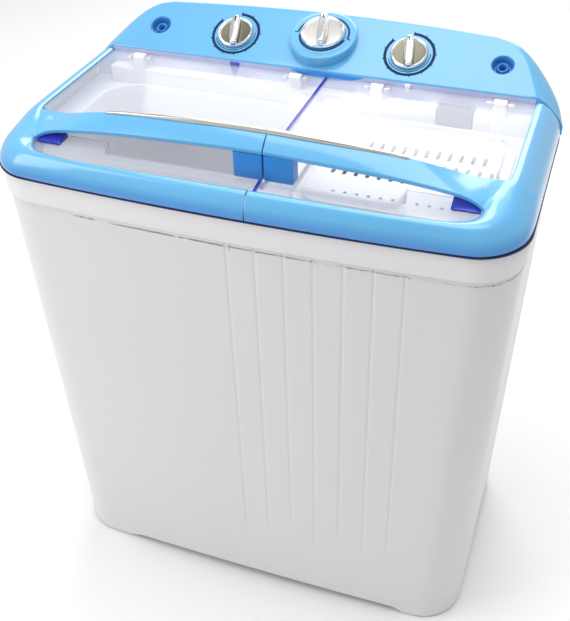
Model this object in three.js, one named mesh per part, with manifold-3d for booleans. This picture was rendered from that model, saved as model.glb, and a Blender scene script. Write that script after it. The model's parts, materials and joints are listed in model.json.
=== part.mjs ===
// Twin tub washer: a wash tub with a pulsator on the left and a spin basket on the right, under two
// clear lids, with a sloping control panel along the back. Millimetres, +X right, +Y back, +Z up,
// origin on the floor under the middle of the machine.
import * as THREE from "three";
import { mergeVertices } from "three/addons/utils/BufferGeometryUtils.js";
import Module from "manifold-3d";

const wasm = await Module();
wasm.setup();

// ---------------------------------------------------------------- driving dimensions
const GAP = 0.3; // between pieces that rest on each other
const WALL = 3; // thickness of the moulded plastic

// Plan outlines: half width, y of the front and back at the corners, how far the middle of the front
// and back stand proud of that, and the corner radii.
const TOP = { half: 295, front: -164, frontBow: 10.5, back: 162, backBow: 12.5, frontR: 55, backR: 75 };
const SKIRT = { half: 292, front: -161, frontBow: 10.5, back: 159, backBow: 12.5, frontR: 52, backR: 72 };
const CABINET_HEAD = { half: 290, front: -158, frontBow: 10.5, back: 154, backBow: 6, frontR: 50, backR: 50 };
const CABINET_FOOT = { half: 277, front: -156, frontBow: 10.5, back: 146, backBow: 6, frontR: 50, backR: 50 };

const CABINET_Z = [3, 564.4]; // lower and upper edge of the painted casing
const SKIRT_Z = 565; // lower edge of the white skirt of the tub deck
const DECK_Z = 594.8; // upper face of the tub deck
const TOP_Z = 596.2; // lower edge of the blue top
const COAMING_Z = 598; // upper edge of the walls round the two tub mouths

const SEAM_X = 19.6; // the two lids meet here, right of the middle
const SEAM_GAP = 1.4;
const LID_REAR_Y = 96.2;
const HINGE = { y: 90, z: 627.5, pinR: 2.6, boreR: 2.95, lugR: 6.3 };
const HINGE_X = { wash: [-222, -17], spin: [83, 225] };
const POST_HALF = 7.6; // half width of a hinge post
const WINDOW = { rearZ: 630.4, rise: 0.012, thick: 2.4, half: 263 }; // clear plate, a little higher at the front
const RIM = { inner: -152.6, innerZ: 617, crest: 625.5 }; // blue rim along the front
// The bar bows up in the middle. Tables against the distance from the middle: height of its back and
// front edges, and y of its back edge, which swings back at the ends to meet the side rails.
const BAR = {
  front: -116.5,
  end: 266,
  rearZ: [[0, 660.3], [50, 659.6], [110, 657], [160, 652.5], [185, 647.5], [205, 641.8], [222, 636.4], [240, 635], [266, 634.6]],
  frontZ: [[0, 646.2], [50, 644.6], [105, 642.2], [142, 640.4], [163, 639], [185, 637], [206, 634.8], [222, 632.8], [240, 629.5], [266, 627]],
  rearY: [[0, -97], [160, -97], [185, -94], [205, -88.5], [222, -83], [240, -81], [252, -80], [259, -76], [266, -68]],
};
const POCKET = { half: 165, front: -123, back: -103, floorZ: 606 }; // finger recess under the bar
const WEB_WIDTH = 32; // blue finger stop under the bar, each side of the seam

// The panel's edge is small along the back and falls away in a wide slope, [across, down], at its ends. Its surface rises a
// little more towards the middle of the back.
const PANEL = { front: 99.5, y0: 98, z0: 636, tilt: THREE.MathUtils.degToRad(28), crown: 2.6, backEdge: 3.5, endEdge: [32, 30] };
const DIAL_S = 39.5; // distance of the timers up the slope of the panel
const TIMER_X = 109;
const INLETS = { left: [-211.2, 39.5], right: [217, 40.5] }; // x, and distance up the slope
const KNOB_TURN = THREE.MathUtils.degToRad(11); // the grips point a little to the left
// Round wedge under the selector: flatter than the panel, so high in front and low at the back.
const BOSS = { x: 2.5, s: 47.5, r: 41, high: 8.5, lean: THREE.MathUtils.degToRad(9) };

const WASH = { x0: -257, x1: 8, y0: -131, y1: 81, r: 45, floorZ: 209, draft: 8 };
const SPIN = { x: 148, y: -25, mouth: 107, tubR: 104, floorZ: 180 };
const PULSATOR = { x: -123, y: -25, r: 66 };
const BASKET = { r: 92, floorZ: 226, topZ: 572, mouthR: 76 };
const BRAKE_POST = { dx: 42, dy: 58, postR: 4 };
const WASH_MOTOR = { x: -42, y: 66 };
const BELT_Z = 112;
const BASE_Z = 30; // underside of the base tray
const FEET = [
  ["front_left", -232, -112],
  ["front_right", 232, -112],
  ["rear_left", -232, 106],
  ["rear_right", 232, 106],
];
const REAR_OPENING = { half: 225, z0: 70, z1: 470 };
const GROOVES = { first: -5, pitch: 31.5, count: 7, z0: 112, z1: 566, wide: 2, deep: 0.8 }; // fine lines down the front

// ---------------------------------------------------------------- materials
const finish = (color, roughness, metalness = 0, more = {}) =>
  new THREE.MeshStandardMaterial({ color, roughness, metalness, ...more });
const material = {
  bluePlastic: finish(0x6cbcec, 0.22),
  inletPlastic: finish(0x1f67c4, 0.3),
  clearPlastic: finish(0xc9c8f4, 0.05, 0, { transparent: true, opacity: 0.3 }),
  whiteCasing: finish(0xe9e8ea, 0.35),
  whitePlastic: finish(0xf1f0f6, 0.4),
  chrome: finish(0xd8d6d0, 0.12, 1),
  greyPlastic: finish(0x8d8fa6, 0.5),
  blackPlastic: finish(0x1d1e22, 0.55),
  rubber: finish(0x2a2a2d, 0.85),
  steel: finish(0xa9adb2, 0.35, 1),
  aluminium: finish(0xb9bcc0, 0.4, 1),
};

// ---------------------------------------------------------------- solids and booleans
// A closed solid from vertices and triangles, turned right side out.
function solidFrom(vertices, triangles) {
  const flip = (list) => {
    const out = [];
    for (let i = 0; i < list.length; i += 3) out.push(list[i], list[i + 2], list[i + 1]);
    return out;
  };
  const make = (list) =>
    new wasm.Manifold(
      new wasm.Mesh({ numProp: 3, vertProperties: new Float32Array(vertices), triVerts: new Uint32Array(list) }),
    );
  const first = make(triangles);
  return first.volume() < 0 ? make(flip(triangles)) : first;
}

function toSolid(geometry) {
  const bare = geometry.clone();
  for (const name of Object.keys(bare.attributes)) if (name !== "position") bare.deleteAttribute(name);
  const merged = mergeVertices(bare, 1e-3);
  const kept = [];
  const index = merged.index.array;
  for (let i = 0; i < index.length; i += 3) {
    const [a, b, c] = [index[i], index[i + 1], index[i + 2]];
    if (a !== b && b !== c && c !== a) kept.push(a, b, c);
  }
  return solidFrom(merged.attributes.position.array, kept);
}

function toGeometry(solid) {
  const mesh = solid.getMesh();
  const positions = new Float32Array(mesh.numVert * 3);
  for (let i = 0; i < mesh.numVert; i++)
    positions.set(mesh.vertProperties.subarray(i * mesh.numProp, i * mesh.numProp + 3), i * 3);
  const geometry = new THREE.BufferGeometry();
  geometry.setAttribute("position", new THREE.BufferAttribute(positions, 3));
  geometry.setIndex(new THREE.BufferAttribute(new Uint32Array(mesh.triVerts), 1));
  const flat = geometry.toNonIndexed();
  flat.computeVertexNormals();
  return flat;
}

const join = (...parts) => toGeometry(parts.map(toSolid).reduce((a, b) => a.add(b)));
const cut = (base, ...tools) => toGeometry(tools.map(toSolid).reduce((a, b) => a.subtract(b), toSolid(base)));
const common = (a, b) => toGeometry(toSolid(a).intersect(toSolid(b)));

// Triangles over one flat ring of points, facing the way the ring winds.
function capTriangles(ring) {
  const normal = new THREE.Vector3();
  ring.forEach((p, i) => normal.add(p.clone().sub(ring[0]).cross(ring[(i + 1) % ring.length].clone().sub(ring[0]))));
  normal.normalize();
  const across = Math.abs(normal.z) < 0.9 ? new THREE.Vector3(0, 0, 1) : new THREE.Vector3(1, 0, 0);
  const u = new THREE.Vector3().crossVectors(across, normal).normalize();
  const v = new THREE.Vector3().crossVectors(normal, u);
  const flat = ring.map((p) => new THREE.Vector2(p.dot(u), p.dot(v)));
  return THREE.ShapeUtils.triangulateShape(flat, []).map(([a, b, c]) => {
    const turn = flat[b].clone().sub(flat[a]).cross(flat[c].clone().sub(flat[a]));
    return turn > 0 ? [a, b, c] : [a, c, b];
  });
}

// A solid through a row of rings, each an array of the same number of [x, y, z] points.
function loft(rings) {
  const points = rings.map((ring) => ring.map((p) => new THREE.Vector3(...p)));
  const n = points[0].length;
  const triangles = [];
  for (let k = 0; k + 1 < points.length; k++)
    for (let i = 0; i < n; i++) {
      const a = k * n + i;
      const b = k * n + ((i + 1) % n);
      triangles.push(a, b, b + n, a, b + n, a + n);
    }
  const last = (points.length - 1) * n;
  for (const [a, b, c] of capTriangles(points[0])) triangles.push(a, c, b);
  for (const [a, b, c] of capTriangles(points[points.length - 1])) triangles.push(last + a, last + b, last + c);
  return toGeometry(solidFrom(points.flat().flatMap((p) => p.toArray()), triangles));
}

// ---------------------------------------------------------------- simple shapes
const box = (x0, x1, y0, y1, z0, z1) =>
  new THREE.BoxGeometry(x1 - x0, y1 - y0, z1 - z0).translate((x0 + x1) / 2, (y0 + y1) / 2, (z0 + z1) / 2);

const drum = (r, z0, z1, x = 0, y = 0, sides = 16) =>
  new THREE.CylinderGeometry(r, r, z1 - z0, sides).rotateX(Math.PI / 2).translate(x, y, (z0 + z1) / 2);

const rod = (r, x0, x1, y, z, sides = 10) =>
  new THREE.CylinderGeometry(r, r, x1 - x0, sides).rotateZ(Math.PI / 2).translate((x0 + x1) / 2, y, z);

const turned = (profile, x = 0, y = 0, sides = 18) =>
  new THREE.LatheGeometry(
    profile.map(([r, z]) => new THREE.Vector2(r, z)),
    sides,
  )
    .rotateX(Math.PI / 2)
    .translate(x, y, 0);

function roundedShape(x0, x1, y0, y1, r) {
  const shape = new THREE.Shape();
  shape.absarc(x1 - r, y0 + r, r, -Math.PI / 2, 0);
  shape.absarc(x1 - r, y1 - r, r, 0, Math.PI / 2);
  shape.absarc(x0 + r, y1 - r, r, Math.PI / 2, Math.PI);
  shape.absarc(x0 + r, y0 + r, r, Math.PI, Math.PI * 1.5);
  return shape;
}

const slab = (shape, z0, z1, curveSegments = 4) =>
  new THREE.ExtrudeGeometry(shape, { depth: z1 - z0, bevelEnabled: false, curveSegments }).translate(0, 0, z0);

const roundedSlab = (x0, x1, y0, y1, r, z0, z1) => slab(roundedShape(x0, x1, y0, y1, r), z0, z1);

// An outline given as [y, z] points, extruded along X.
function alongX(points, x0, x1) {
  return loft([x0, x1].map((x) => points.map(([y, z]) => [x, y, z])));
}

// ---------------------------------------------------------------- plan outlines
const frontY = (plan, x) => plan.front - plan.frontBow * (1 - (x / plan.half) ** 2);

// Points round a plan outline, counter-clockwise from the front right corner, moved in by inset.
function outline(plan, inset = 0, cornerSteps = 4, bowSteps = 4) {
  const w = plan.half - inset;
  const f = plan.front + inset;
  const b = plan.back - inset;
  const rf = Math.max(plan.frontR - inset, 3);
  const rb = Math.max(plan.backR - inset, 3);
  const corners = [
    [w - rf, f + rf, rf, -90],
    [w - rb, b - rb, rb, 0],
    [rb - w, b - rb, rb, 90],
    [rf - w, f + rf, rf, 180],
  ];
  const arcs = corners.map(([cx, cy, r, start]) =>
    Array.from({ length: cornerSteps + 1 }, (_, i) => {
      const a = THREE.MathUtils.degToRad(start + (90 * i) / cornerSteps);
      return [cx + r * Math.cos(a), cy + r * Math.sin(a)];
    }),
  );
  const between = (p, q) =>
    Array.from({ length: bowSteps - 1 }, (_, i) => {
      const t = (i + 1) / bowSteps;
      return [p[0] + (q[0] - p[0]) * t, p[1] + (q[1] - p[1]) * t];
    });
  const round = [
    ...arcs[0],
    ...arcs[1],
    ...between(arcs[1].at(-1), arcs[2][0]),
    ...arcs[2],
    ...arcs[3],
    ...between(arcs[3].at(-1), arcs[0][0]),
  ];
  return round.map(([x, y]) => {
    const share = Math.min(1, Math.abs(y / (y < 0 ? plan.front : plan.back))) ** 2;
    const bow = (1 - (x / plan.half) ** 2) * share;
    return [x, y < 0 ? y - plan.frontBow * bow : y + plan.backBow * bow];
  });
}

const ringAt = (points, z) => points.map(([x, y]) => [x, y, z]);

// ---------------------------------------------------------------- the group
const washer = new THREE.Group();

function part(name, geometry, look, place) {
  const mesh = new THREE.Mesh(toGeometry(toSolid(geometry)), look);
  mesh.name = name;
  if (place) place(mesh);
  washer.add(mesh);
  return mesh;
}

// Stands a mesh on the sloping panel: x across, s up the slope, h out of its surface.
const onPanel = (x, s, h = 0) => (mesh) => {
  const { y0, z0, tilt } = PANEL;
  mesh.rotation.x = tilt;
  mesh.position.set(
    x,
    y0 + s * Math.cos(tilt) - h * Math.sin(tilt),
    z0 + s * Math.sin(tilt) + h * Math.cos(tilt),
  );
};

// Stands a mesh on the middle of the leaning top face of the selector's wedge, h out of it.
const onBoss = (h = 0) => (mesh) => {
  onPanel(BOSS.x, BOSS.s, BOSS.high)(mesh);
  mesh.rotation.x = PANEL.tilt - BOSS.lean;
  mesh.position.y -= h * Math.sin(mesh.rotation.x);
  mesh.position.z += h * Math.cos(mesh.rotation.x);
};

function placed(place) {
  const holder = new THREE.Object3D();
  place(holder);
  holder.updateMatrix();
  return holder.matrix;
}

const bakedOnPanel = (geometry, x, s, h = 0) => geometry.applyMatrix4(placed(onPanel(x, s, h)));

// ---------------------------------------------------------------- base, feet and casing
function baseFrame() {
  const inner = { ...CABINET_FOOT, half: 273.4, front: -152.4, back: 142.4, frontR: 46, backR: 46 };
  const tray = loft([ringAt(outline(inner), BASE_Z), ringAt(outline(inner), BASE_Z + 16)]);
  const hollow = loft([ringAt(outline(inner, 4), BASE_Z + 4), ringAt(outline(inner, 4), BASE_Z + 20)]);
  const legs = FEET.map(([, x, y]) => drum(21, 8, BASE_Z + 3, x, y, 14));
  const ribs = [box(-230, 70, -4, 0, BASE_Z + 3, BASE_Z + 12), box(-4, 0, -150, 140, BASE_Z + 3, BASE_Z + 12)];
  const airHole = drum(40, BASE_Z - 1, BASE_Z + 16, PULSATOR.x, PULSATOR.y, 16);
  part("base_tray", cut(join(cut(tray, hollow), ...legs, ...ribs), airHole), material.greyPlastic);
}

function feet() {
  for (const [name, x, y] of FEET)
    part(
      `foot_${name}`,
      turned([[0, 0], [15, 0], [17, 2], [17, 8 - GAP], [0, 8 - GAP]], x, y, 14),
      material.rubber,
    );
}

function cabinet() {
  const [z0, z1] = CABINET_Z;
  const skin = 2.4;
  const shell = cut(
    loft([ringAt(outline(CABINET_FOOT), z0), ringAt(outline(CABINET_HEAD), z1)]),
    loft([ringAt(outline(CABINET_FOOT, skin), z0 - 1), ringAt(outline(CABINET_HEAD, skin), z1 + 1)]),
  );
  // The long shallow arch between the front corners.
  const arch = new THREE.Shape([new THREE.Vector2(-192, 0), new THREE.Vector2(-180, 9)]);
  arch.quadraticCurveTo(8, 18, 196, 9);
  arch.lineTo(208, 0);
  const archCut = new THREE.ExtrudeGeometry(arch, { depth: 60, bevelEnabled: false, curveSegments: 6 })
    .rotateX(Math.PI / 2)
    .translate(0, -120, 0);
  const { half, z0: low, z1: high } = REAR_OPENING;
  const grooves = Array.from({ length: GROOVES.count }, (_, i) => {
    const x = GROOVES.first + i * GROOVES.pitch;
    const edge = (z) => {
      const t = (z - z0) / (z1 - z0);
      const y = THREE.MathUtils.lerp(frontY(CABINET_FOOT, x), frontY(CABINET_HEAD, x), t) + GROOVES.deep;
      return [[x - GROOVES.wide / 2, y - 6, z], [x + GROOVES.wide / 2, y - 6, z], [x, y, z]];
    };
    return loft([edge(GROOVES.z0), edge(GROOVES.z1)]);
  });
  part("cabinet", cut(shell, archCut, box(-half, half, 120, 175, low, high), ...grooves), material.whiteCasing);
}

// y of the casing's outer back face in the middle, at a height.
const backFaceY = (z) => {
  const t = (z - CABINET_Z[0]) / (CABINET_Z[1] - CABINET_Z[0]);
  return THREE.MathUtils.lerp(CABINET_FOOT.back, CABINET_HEAD.back, t) + CABINET_HEAD.backBow;
};

function rearCover() {
  const { half, z0, z1 } = REAR_OPENING;
  const [low, high] = [z0 - 14, z1 + 14];
  const lean = (z, proud) => [backFaceY(z) + proud, z];
  const sheet = alongX([lean(low, 0.4), lean(low, 2.4), lean(high, 2.4), lean(high, 0.4)], -half - 14, half + 14);
  const louvres = [0, 1, 2, 3, 4].map((i) => box(-60, 60, 140, 175, 150 + i * 16, 155 + i * 16));
  const cordHole = rod(9, -5, 5, 0, 0, 10).rotateZ(Math.PI / 2).scale(1, 6, 1).translate(-190, 155, 110);
  const screws = [];
  for (const x of [-half - 6, half + 6]) for (const z of [low + 8, high - 8]) screws.push([x, z]);
  const holes = screws.map(([x, z]) =>
    new THREE.CylinderGeometry(2.4, 2.4, 20, 8).translate(x, backFaceY(z), z),
  );
  part("rear_cover", cut(sheet, ...louvres, cordHole, ...holes), material.whiteCasing);
  screws.forEach(([x, z], i) => {
    const head = new THREE.CylinderGeometry(4.2, 4.2, 1.8, 8).translate(0, 3.7, 0);
    const shank = new THREE.CylinderGeometry(1.9, 1.9, 2.8, 6).translate(0, 1.8, 0);
    part(`rear_cover_screw_${i + 1}`, join(head, shank).translate(x, backFaceY(z), z), material.steel);
  });
  const gland = cut(
    join(
      new THREE.CylinderGeometry(12, 12, 3, 12).translate(0, 4.5, 0),
      new THREE.CylinderGeometry(8.2, 8.2, 6, 12).translate(0, 1, 0),
    ),
    new THREE.CylinderGeometry(4, 4, 20, 8),
  );
  part("cord_gland", gland.translate(-190, backFaceY(110), 110), material.blackPlastic);
}

// ---------------------------------------------------------------- tub deck and the two tubs
const spinMouth = (grow) =>
  roundedShape(SPIN.x - SPIN.mouth - grow, SPIN.x + SPIN.mouth + grow, SPIN.y - 106 - grow, SPIN.y + 105 + grow, 40 + grow);
const washMouth = (grow) =>
  roundedShape(WASH.x0 - grow, WASH.x1 + grow, WASH.y0 - grow, WASH.y1 + grow, WASH.r + grow);

function tubDeck() {
  const drop = 4;
  const body = loft([
    ringAt(outline(SKIRT), SKIRT_Z),
    ringAt(outline(SKIRT), DECK_Z - 2),
    ringAt(outline(SKIRT, 2), DECK_Z),
  ]);
  const under = loft([
    ringAt(outline(SKIRT, WALL), SKIRT_Z - 1),
    ringAt(outline(SKIRT, WALL), DECK_Z - WALL),
  ]);
  const shell = cut(body, under);
  const posts = [...HINGE_X.wash, ...HINGE_X.spin].map((x) =>
    cut(
      join(
        box(x - POST_HALF, x + POST_HALF, 84, 96, DECK_Z - 1, HINGE.z),
        box(x - POST_HALF, x + POST_HALF, 81.5, 96, DECK_Z - 1, 612),
        rod(6, x - POST_HALF, x + POST_HALF, HINGE.y, HINGE.z, 12),
      ),
      rod(HINGE.boreR, x - 12, x + 12, HINGE.y, HINGE.z, 10),
    ),
  );
  const mouths = [slab(washMouth(GAP), DECK_Z - 9, DECK_Z + 9), slab(spinMouth(GAP), DECK_Z - 9, DECK_Z + 9)];
  // A rib under the deck between the tubs, and one behind them under the panel.
  const rearRib = box(-240, 240, 122, 125, DECK_Z - WALL - drop * 3, DECK_Z - 1);
  part("tub_deck", cut(join(shell, rearRib, ...posts), ...mouths), material.whitePlastic);
}

// Above this line the coaming is cut away, to leave room for the finger recess of the lids.
const frontRelief = () => box(-300, 300, -200, -88, DECK_Z + 1.5, COAMING_Z + 9);

function washTub() {
  const rings = (inset, top, bottom) =>
    [
      [top, 0],
      [bottom + 30, WASH.draft],
      [bottom, WASH.draft + 22],
    ].map(([z, more]) => {
      const i = inset + more;
      const shape = roundedShape(WASH.x0 + i, WASH.x1 - i, WASH.y0 + i, WASH.y1 - i, WASH.r - Math.min(i, 25) / 2);
      return ringAt(
        shape.getPoints(3).slice(0, -1).map((p) => [p.x, p.y]),
        z,
      );
    });
  const outer = loft(rings(0, COAMING_Z, WASH.floorZ - WALL));
  const inner = loft(rings(WALL, COAMING_Z, WASH.floorZ).map((ring, i) => (i ? ring : ring.map(([x, y]) => [x, y, COAMING_Z + 1]))));
  const well = drum(PULSATOR.r + 9, WASH.floorZ - 14, WASH.floorZ + 1, PULSATOR.x, PULSATOR.y, 20);
  const wellInside = drum(PULSATOR.r + 6, WASH.floorZ - 11, WASH.floorZ + 2, PULSATOR.x, PULSATOR.y, 20);
  const shaftHole = drum(11, WASH.floorZ - 20, WASH.floorZ + 5, PULSATOR.x, PULSATOR.y, 16);
  const drainHole = drum(10, WASH.floorZ - 20, WASH.floorZ + 5, -222, 40, 12);
  const shell = cut(join(outer, well), inner, wellInside, shaftHole, drainHole, frontRelief());
  part("wash_tub", shell, material.whitePlastic);
}

function spinTub() {
  const { x, y, tubR, floorZ } = SPIN;
  const shelfZ = DECK_Z - 10;
  const collar = cut(slab(spinMouth(0), shelfZ, COAMING_Z), slab(spinMouth(-WALL), shelfZ + WALL, COAMING_Z + 1));
  const tub = turned([[0, floorZ], [tubR - 6, floorZ], [tubR, floorZ + 8], [tubR, shelfZ + 1], [0, shelfZ + 1]], x, y, 24);
  const inside = turned(
    [[0, floorZ + WALL], [tubR - 9, floorZ + WALL], [tubR - WALL, floorZ + 10], [tubR - WALL, shelfZ + 9], [0, shelfZ + 9]],
    x,
    y,
    24,
  );
  const sealHole = drum(24, floorZ - 5, floorZ + 9, x, y, 20);
  const drain = drum(9, floorZ - 5, floorZ + 9, x + 66, y + 40, 12);
  const post = drum(BRAKE_POST.postR, 148, floorZ + 1, x + BRAKE_POST.dx, y + BRAKE_POST.dy, 16);
  part("spin_outer_tub", cut(join(collar, tub, post), inside, sealHole, drain, frontRelief()), material.whitePlastic);
}

function tubFittings() {
  // Lint filter and overflow duct stand against the wall between the tubs, clips in their frames.
  const filterFrame = cut(box(-9, 0, -78, -18, 420, 500), box(-11, -3, -72, -24, 426, 494));
  const bars = [-60, -48, -36].map((y) => box(-9, -6, y - 1.5, y + 1.5, 424, 496));
  part("lint_filter", join(filterFrame, ...bars), material.inletPlastic);
  const duct = cut(box(-15, -3.4, -8, 30, 246, 520), box(-12, -2, -5, 27, 240, 516));
  const slots = [0, 1, 2, 3, 4, 5].map((i) => box(-18, -11, 0, 22, 300 + i * 34, 306 + i * 34));
  part("overflow_duct", cut(duct, ...slots), material.whitePlastic);
}

// ---------------------------------------------------------------- control panel
function controlPanel() {
  const { front, y0, z0, tilt, crown, backEdge, endEdge } = PANEL;
  const surfaceZ = (x, y) =>
    z0 + (y - y0) * Math.tan(tilt) + crown * (1 - (x / TOP.half) ** 2) * Math.max(0, (y - y0) / 76) ** 2;
  // The back part of the top outline, closed by a straight front edge, at one step round the edge's
  // profile: share 0 is its foot and 1 its top. Gives [x, y, depth below the surface].
  const path = (inset, degrees) => {
    const base = outline(TOP, 0, 5, 4);
    const near = outline(TOP, inset, 5, 4);
    const far = outline(TOP, inset + endEdge[0], 5, 4);
    const power = (value, end) => value ** THREE.MathUtils.lerp(1, 1.6, end);
    const a = THREE.MathUtils.degToRad(degrees);
    const step = (end) => [
      THREE.MathUtils.lerp(backEdge, endEdge[0], end) * (1 - power(Math.cos(a), end)),
      THREE.MathUtils.lerp(backEdge, endEdge[1], end) * (1 - power(Math.sin(a), end)),
    ];
    const kept = base.flatMap(([x, y], i) => {
      if (y <= front + 3) return [];
      const [across, down] = step(THREE.MathUtils.smoothstep(Math.abs(x), 200, 290));
      const t = across / endEdge[0];
      return [[THREE.MathUtils.lerp(near[i][0], far[i][0], t), THREE.MathUtils.lerp(near[i][1], far[i][1], t), down]];
    });
    const [across, down] = step(1);
    const w = TOP.half - inset - across;
    return [[w, front, down], ...kept, [-w, front, down]];
  };
  const shape = (inset, lower, bottom) => {
    const rings = [ringAt(path(inset, 0), bottom)];
    for (const degrees of [0, 30, 60, 90])
      rings.push(path(inset, degrees).map(([x, y, down]) => [x, y, surfaceZ(x, y) - lower - down]));
    return loft(rings);
  };
  const skinIn = (geometry) => common(geometry, box(-400, 400, front + WALL, 400, 0, 900));
  const shell = cut(shape(0, 0, TOP_Z), skinIn(shape(WALL, WALL + 0.4, TOP_Z - 5)));
  const { r, high, lean } = BOSS;
  // A ring of the wedge, down by some depth from its leaning top face.
  const wedgeRing = (radius, depth, sides) =>
    Array.from({ length: sides }, (_, i) => {
      const a = (i * Math.PI * 2) / sides;
      const s = radius * Math.sin(a);
      return [radius * Math.cos(a), s, depth === null ? -2 : Math.max(-1.5, high - s * Math.tan(lean) - depth)];
    });
  const boss = common(
    bakedOnPanel(loft([wedgeRing(r, null, 24), wedgeRing(r, 3, 24), wedgeRing(r - 1, 1, 24), wedgeRing(r - 3, 0, 24)]), BOSS.x, BOSS.s),
    loft([ringAt(outline(TOP), 560), ringAt(outline(TOP), 760)]),
  );
  const bossInside = bakedOnPanel(
    loft([wedgeRing(r - 14, null, 16).map(([x, y]) => [x, y, -6]), wedgeRing(r - 14, 3, 16)]),
    BOSS.x,
    BOSS.s,
  );
  const shaftHole = (x, s) => bakedOnPanel(drum(4.6, -12, 20, 0, 0, 8), x, s);
  const selectorHole = drum(4.6, -30, 20, 0, 0, 8).applyMatrix4(placed(onBoss()));
  const inletHole = ([x, s]) => bakedOnPanel(drum(13.4, -12, 12, 0, 0, 16), x, s);
  part(
    "control_panel",
    cut(
      join(shell, boss),
      bossInside,
      shaftHole(-TIMER_X, DIAL_S),
      shaftHole(TIMER_X, DIAL_S),
      selectorHole,
      inletHole(INLETS.left),
      inletHole(INLETS.right),
    ),
    material.bluePlastic,
  );
}

function waterInlets() {
  const cup = () =>
    cut(
      join(
        cut(drum(13, -16, 0, 0, 0, 16), drum(11.4, -10, 2, 0, 0, 16)),
        cut(drum(7, -16, -4, 0, 0, 12), drum(4.4, -20, 2, 0, 0, 8)),
        drum(8, -36, -14, 0, 0, 12),
      ),
      drum(4.4, -40, -2, 0, 0, 8),
    );
  part("water_inlet_left", cup(), material.inletPlastic, onPanel(...INLETS.left));
  part("water_inlet_right", cup(), material.inletPlastic, onPanel(...INLETS.right));
}

function timers() {
  const timer = (depth, half) =>
    cut(
      join(
        box(-half, half, -half, half, -7 - depth, -7),
        drum(7, -9, -4.2, 0, 0, 10),
        drum(half * 0.8, -10 - depth, -6 - depth, 0, 0, 10),
      ),
      drum(3.8, -20, 2, 0, 0, 8),
    );
  part("wash_timer", timer(20, 19), material.blackPlastic, onPanel(-TIMER_X, DIAL_S));
  part("spin_timer", timer(20, 19), material.blackPlastic, onPanel(TIMER_X, DIAL_S));
  part("drain_selector", timer(14, 14), material.greyPlastic, onBoss(-11));
}

// A disc with a grip bar across it, on a shaft that reaches down into its switch.
function knobSolid(r, grip, half, shaftEnd) {
  const disc = turned([[0, 1.2], [r - 0.5, 1.2], [r, 3], [r - 1.2, 5.4], [r - 4, 6.2], [r - 5.5, 4.8], [0, 4.8]], 0, 0, 18);
  const bar = new THREE.Shape();
  bar.moveTo(-half, -r + 2);
  bar.quadraticCurveTo(0, -r - 0.5, half, -r + 2);
  bar.lineTo(half * 0.86, r - 2);
  bar.quadraticCurveTo(0, r + 0.5, -half * 0.86, r - 2);
  return join(disc, slab(bar, 3, grip, 2), drum(3.1, shaftEnd, 3, 0, 0, 8)).rotateZ(KNOB_TURN);
}

function knobs() {
  part("wash_timer_knob", knobSolid(22.3, 11.5, 5, -17), material.chrome, onPanel(-TIMER_X, DIAL_S));
  part("spin_timer_knob", knobSolid(22.3, 11.5, 5, -17), material.chrome, onPanel(TIMER_X, DIAL_S));
  part("selector_knob", knobSolid(27, 14.5, 6, -26), material.chrome, onBoss());
}

// ---------------------------------------------------------------- lids
const windowZ = (y) => WINDOW.rearZ + (LID_REAR_Y - y) * WINDOW.rise;
// Reads a table of [distance from the middle, value] pairs.
function along(table, x) {
  const at = Math.abs(x);
  const next = Math.max(1, table.findIndex(([d]) => d >= at));
  const [[d0, v0], [d1, v1]] = [table[next - 1], table[next]];
  return THREE.MathUtils.mapLinear(at, d0, d1, v0, v1);
}
const barRearZ = (x) => along(BAR.rearZ, x);
const barFrontZ = (x) => along(BAR.frontZ, x);
const barRearY = (x) => along(BAR.rearY, x);

// Pairs of outer and inner plan points with the crest and inner edge heights, from the hinge end of a
// side rail, round the front corner, along the front rim to the seam. Made for the right-hand lid.
function railStations(seam) {
  const round = outline(TOP, 0, 6, 2).filter(([x, y]) => x > 200 && y < -100);
  const corner = round.sort((a, b) => b[1] - a[1]);
  const inner = [
    [243, -104, 630],
    [241, -115, 626],
    [240, -124, 622.5],
    [237, -133, 620.5],
    [222, -147, 618],
    [212, -150, 617.4],
    [202, RIM.inner, RIM.innerZ],
  ];
  const rail = [LID_REAR_Y, 20, -60, -86].map((y) => ({
    outer: [TOP.half, y],
    inner: [y < -80 ? WINDOW.half - 2 : WINDOW.half, y],
    edge: windowZ(y) + 2.6,
    share: 0,
  }));
  const turn = corner.map((outer, i) => {
    const [x, y, edge] = inner[Math.min(i, inner.length - 1)];
    return { outer, inner: [x, y], edge, share: i / (corner.length - 1) };
  });
  const steps = 5;
  const front = Array.from({ length: steps }, (_, i) => {
    const x = THREE.MathUtils.lerp(190, seam, i / (steps - 1));
    return { outer: [x, frontY(TOP, x)], inner: [x, RIM.inner], edge: RIM.innerZ, share: 1 };
  });
  return [...rail, ...turn, ...front];
}

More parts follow.
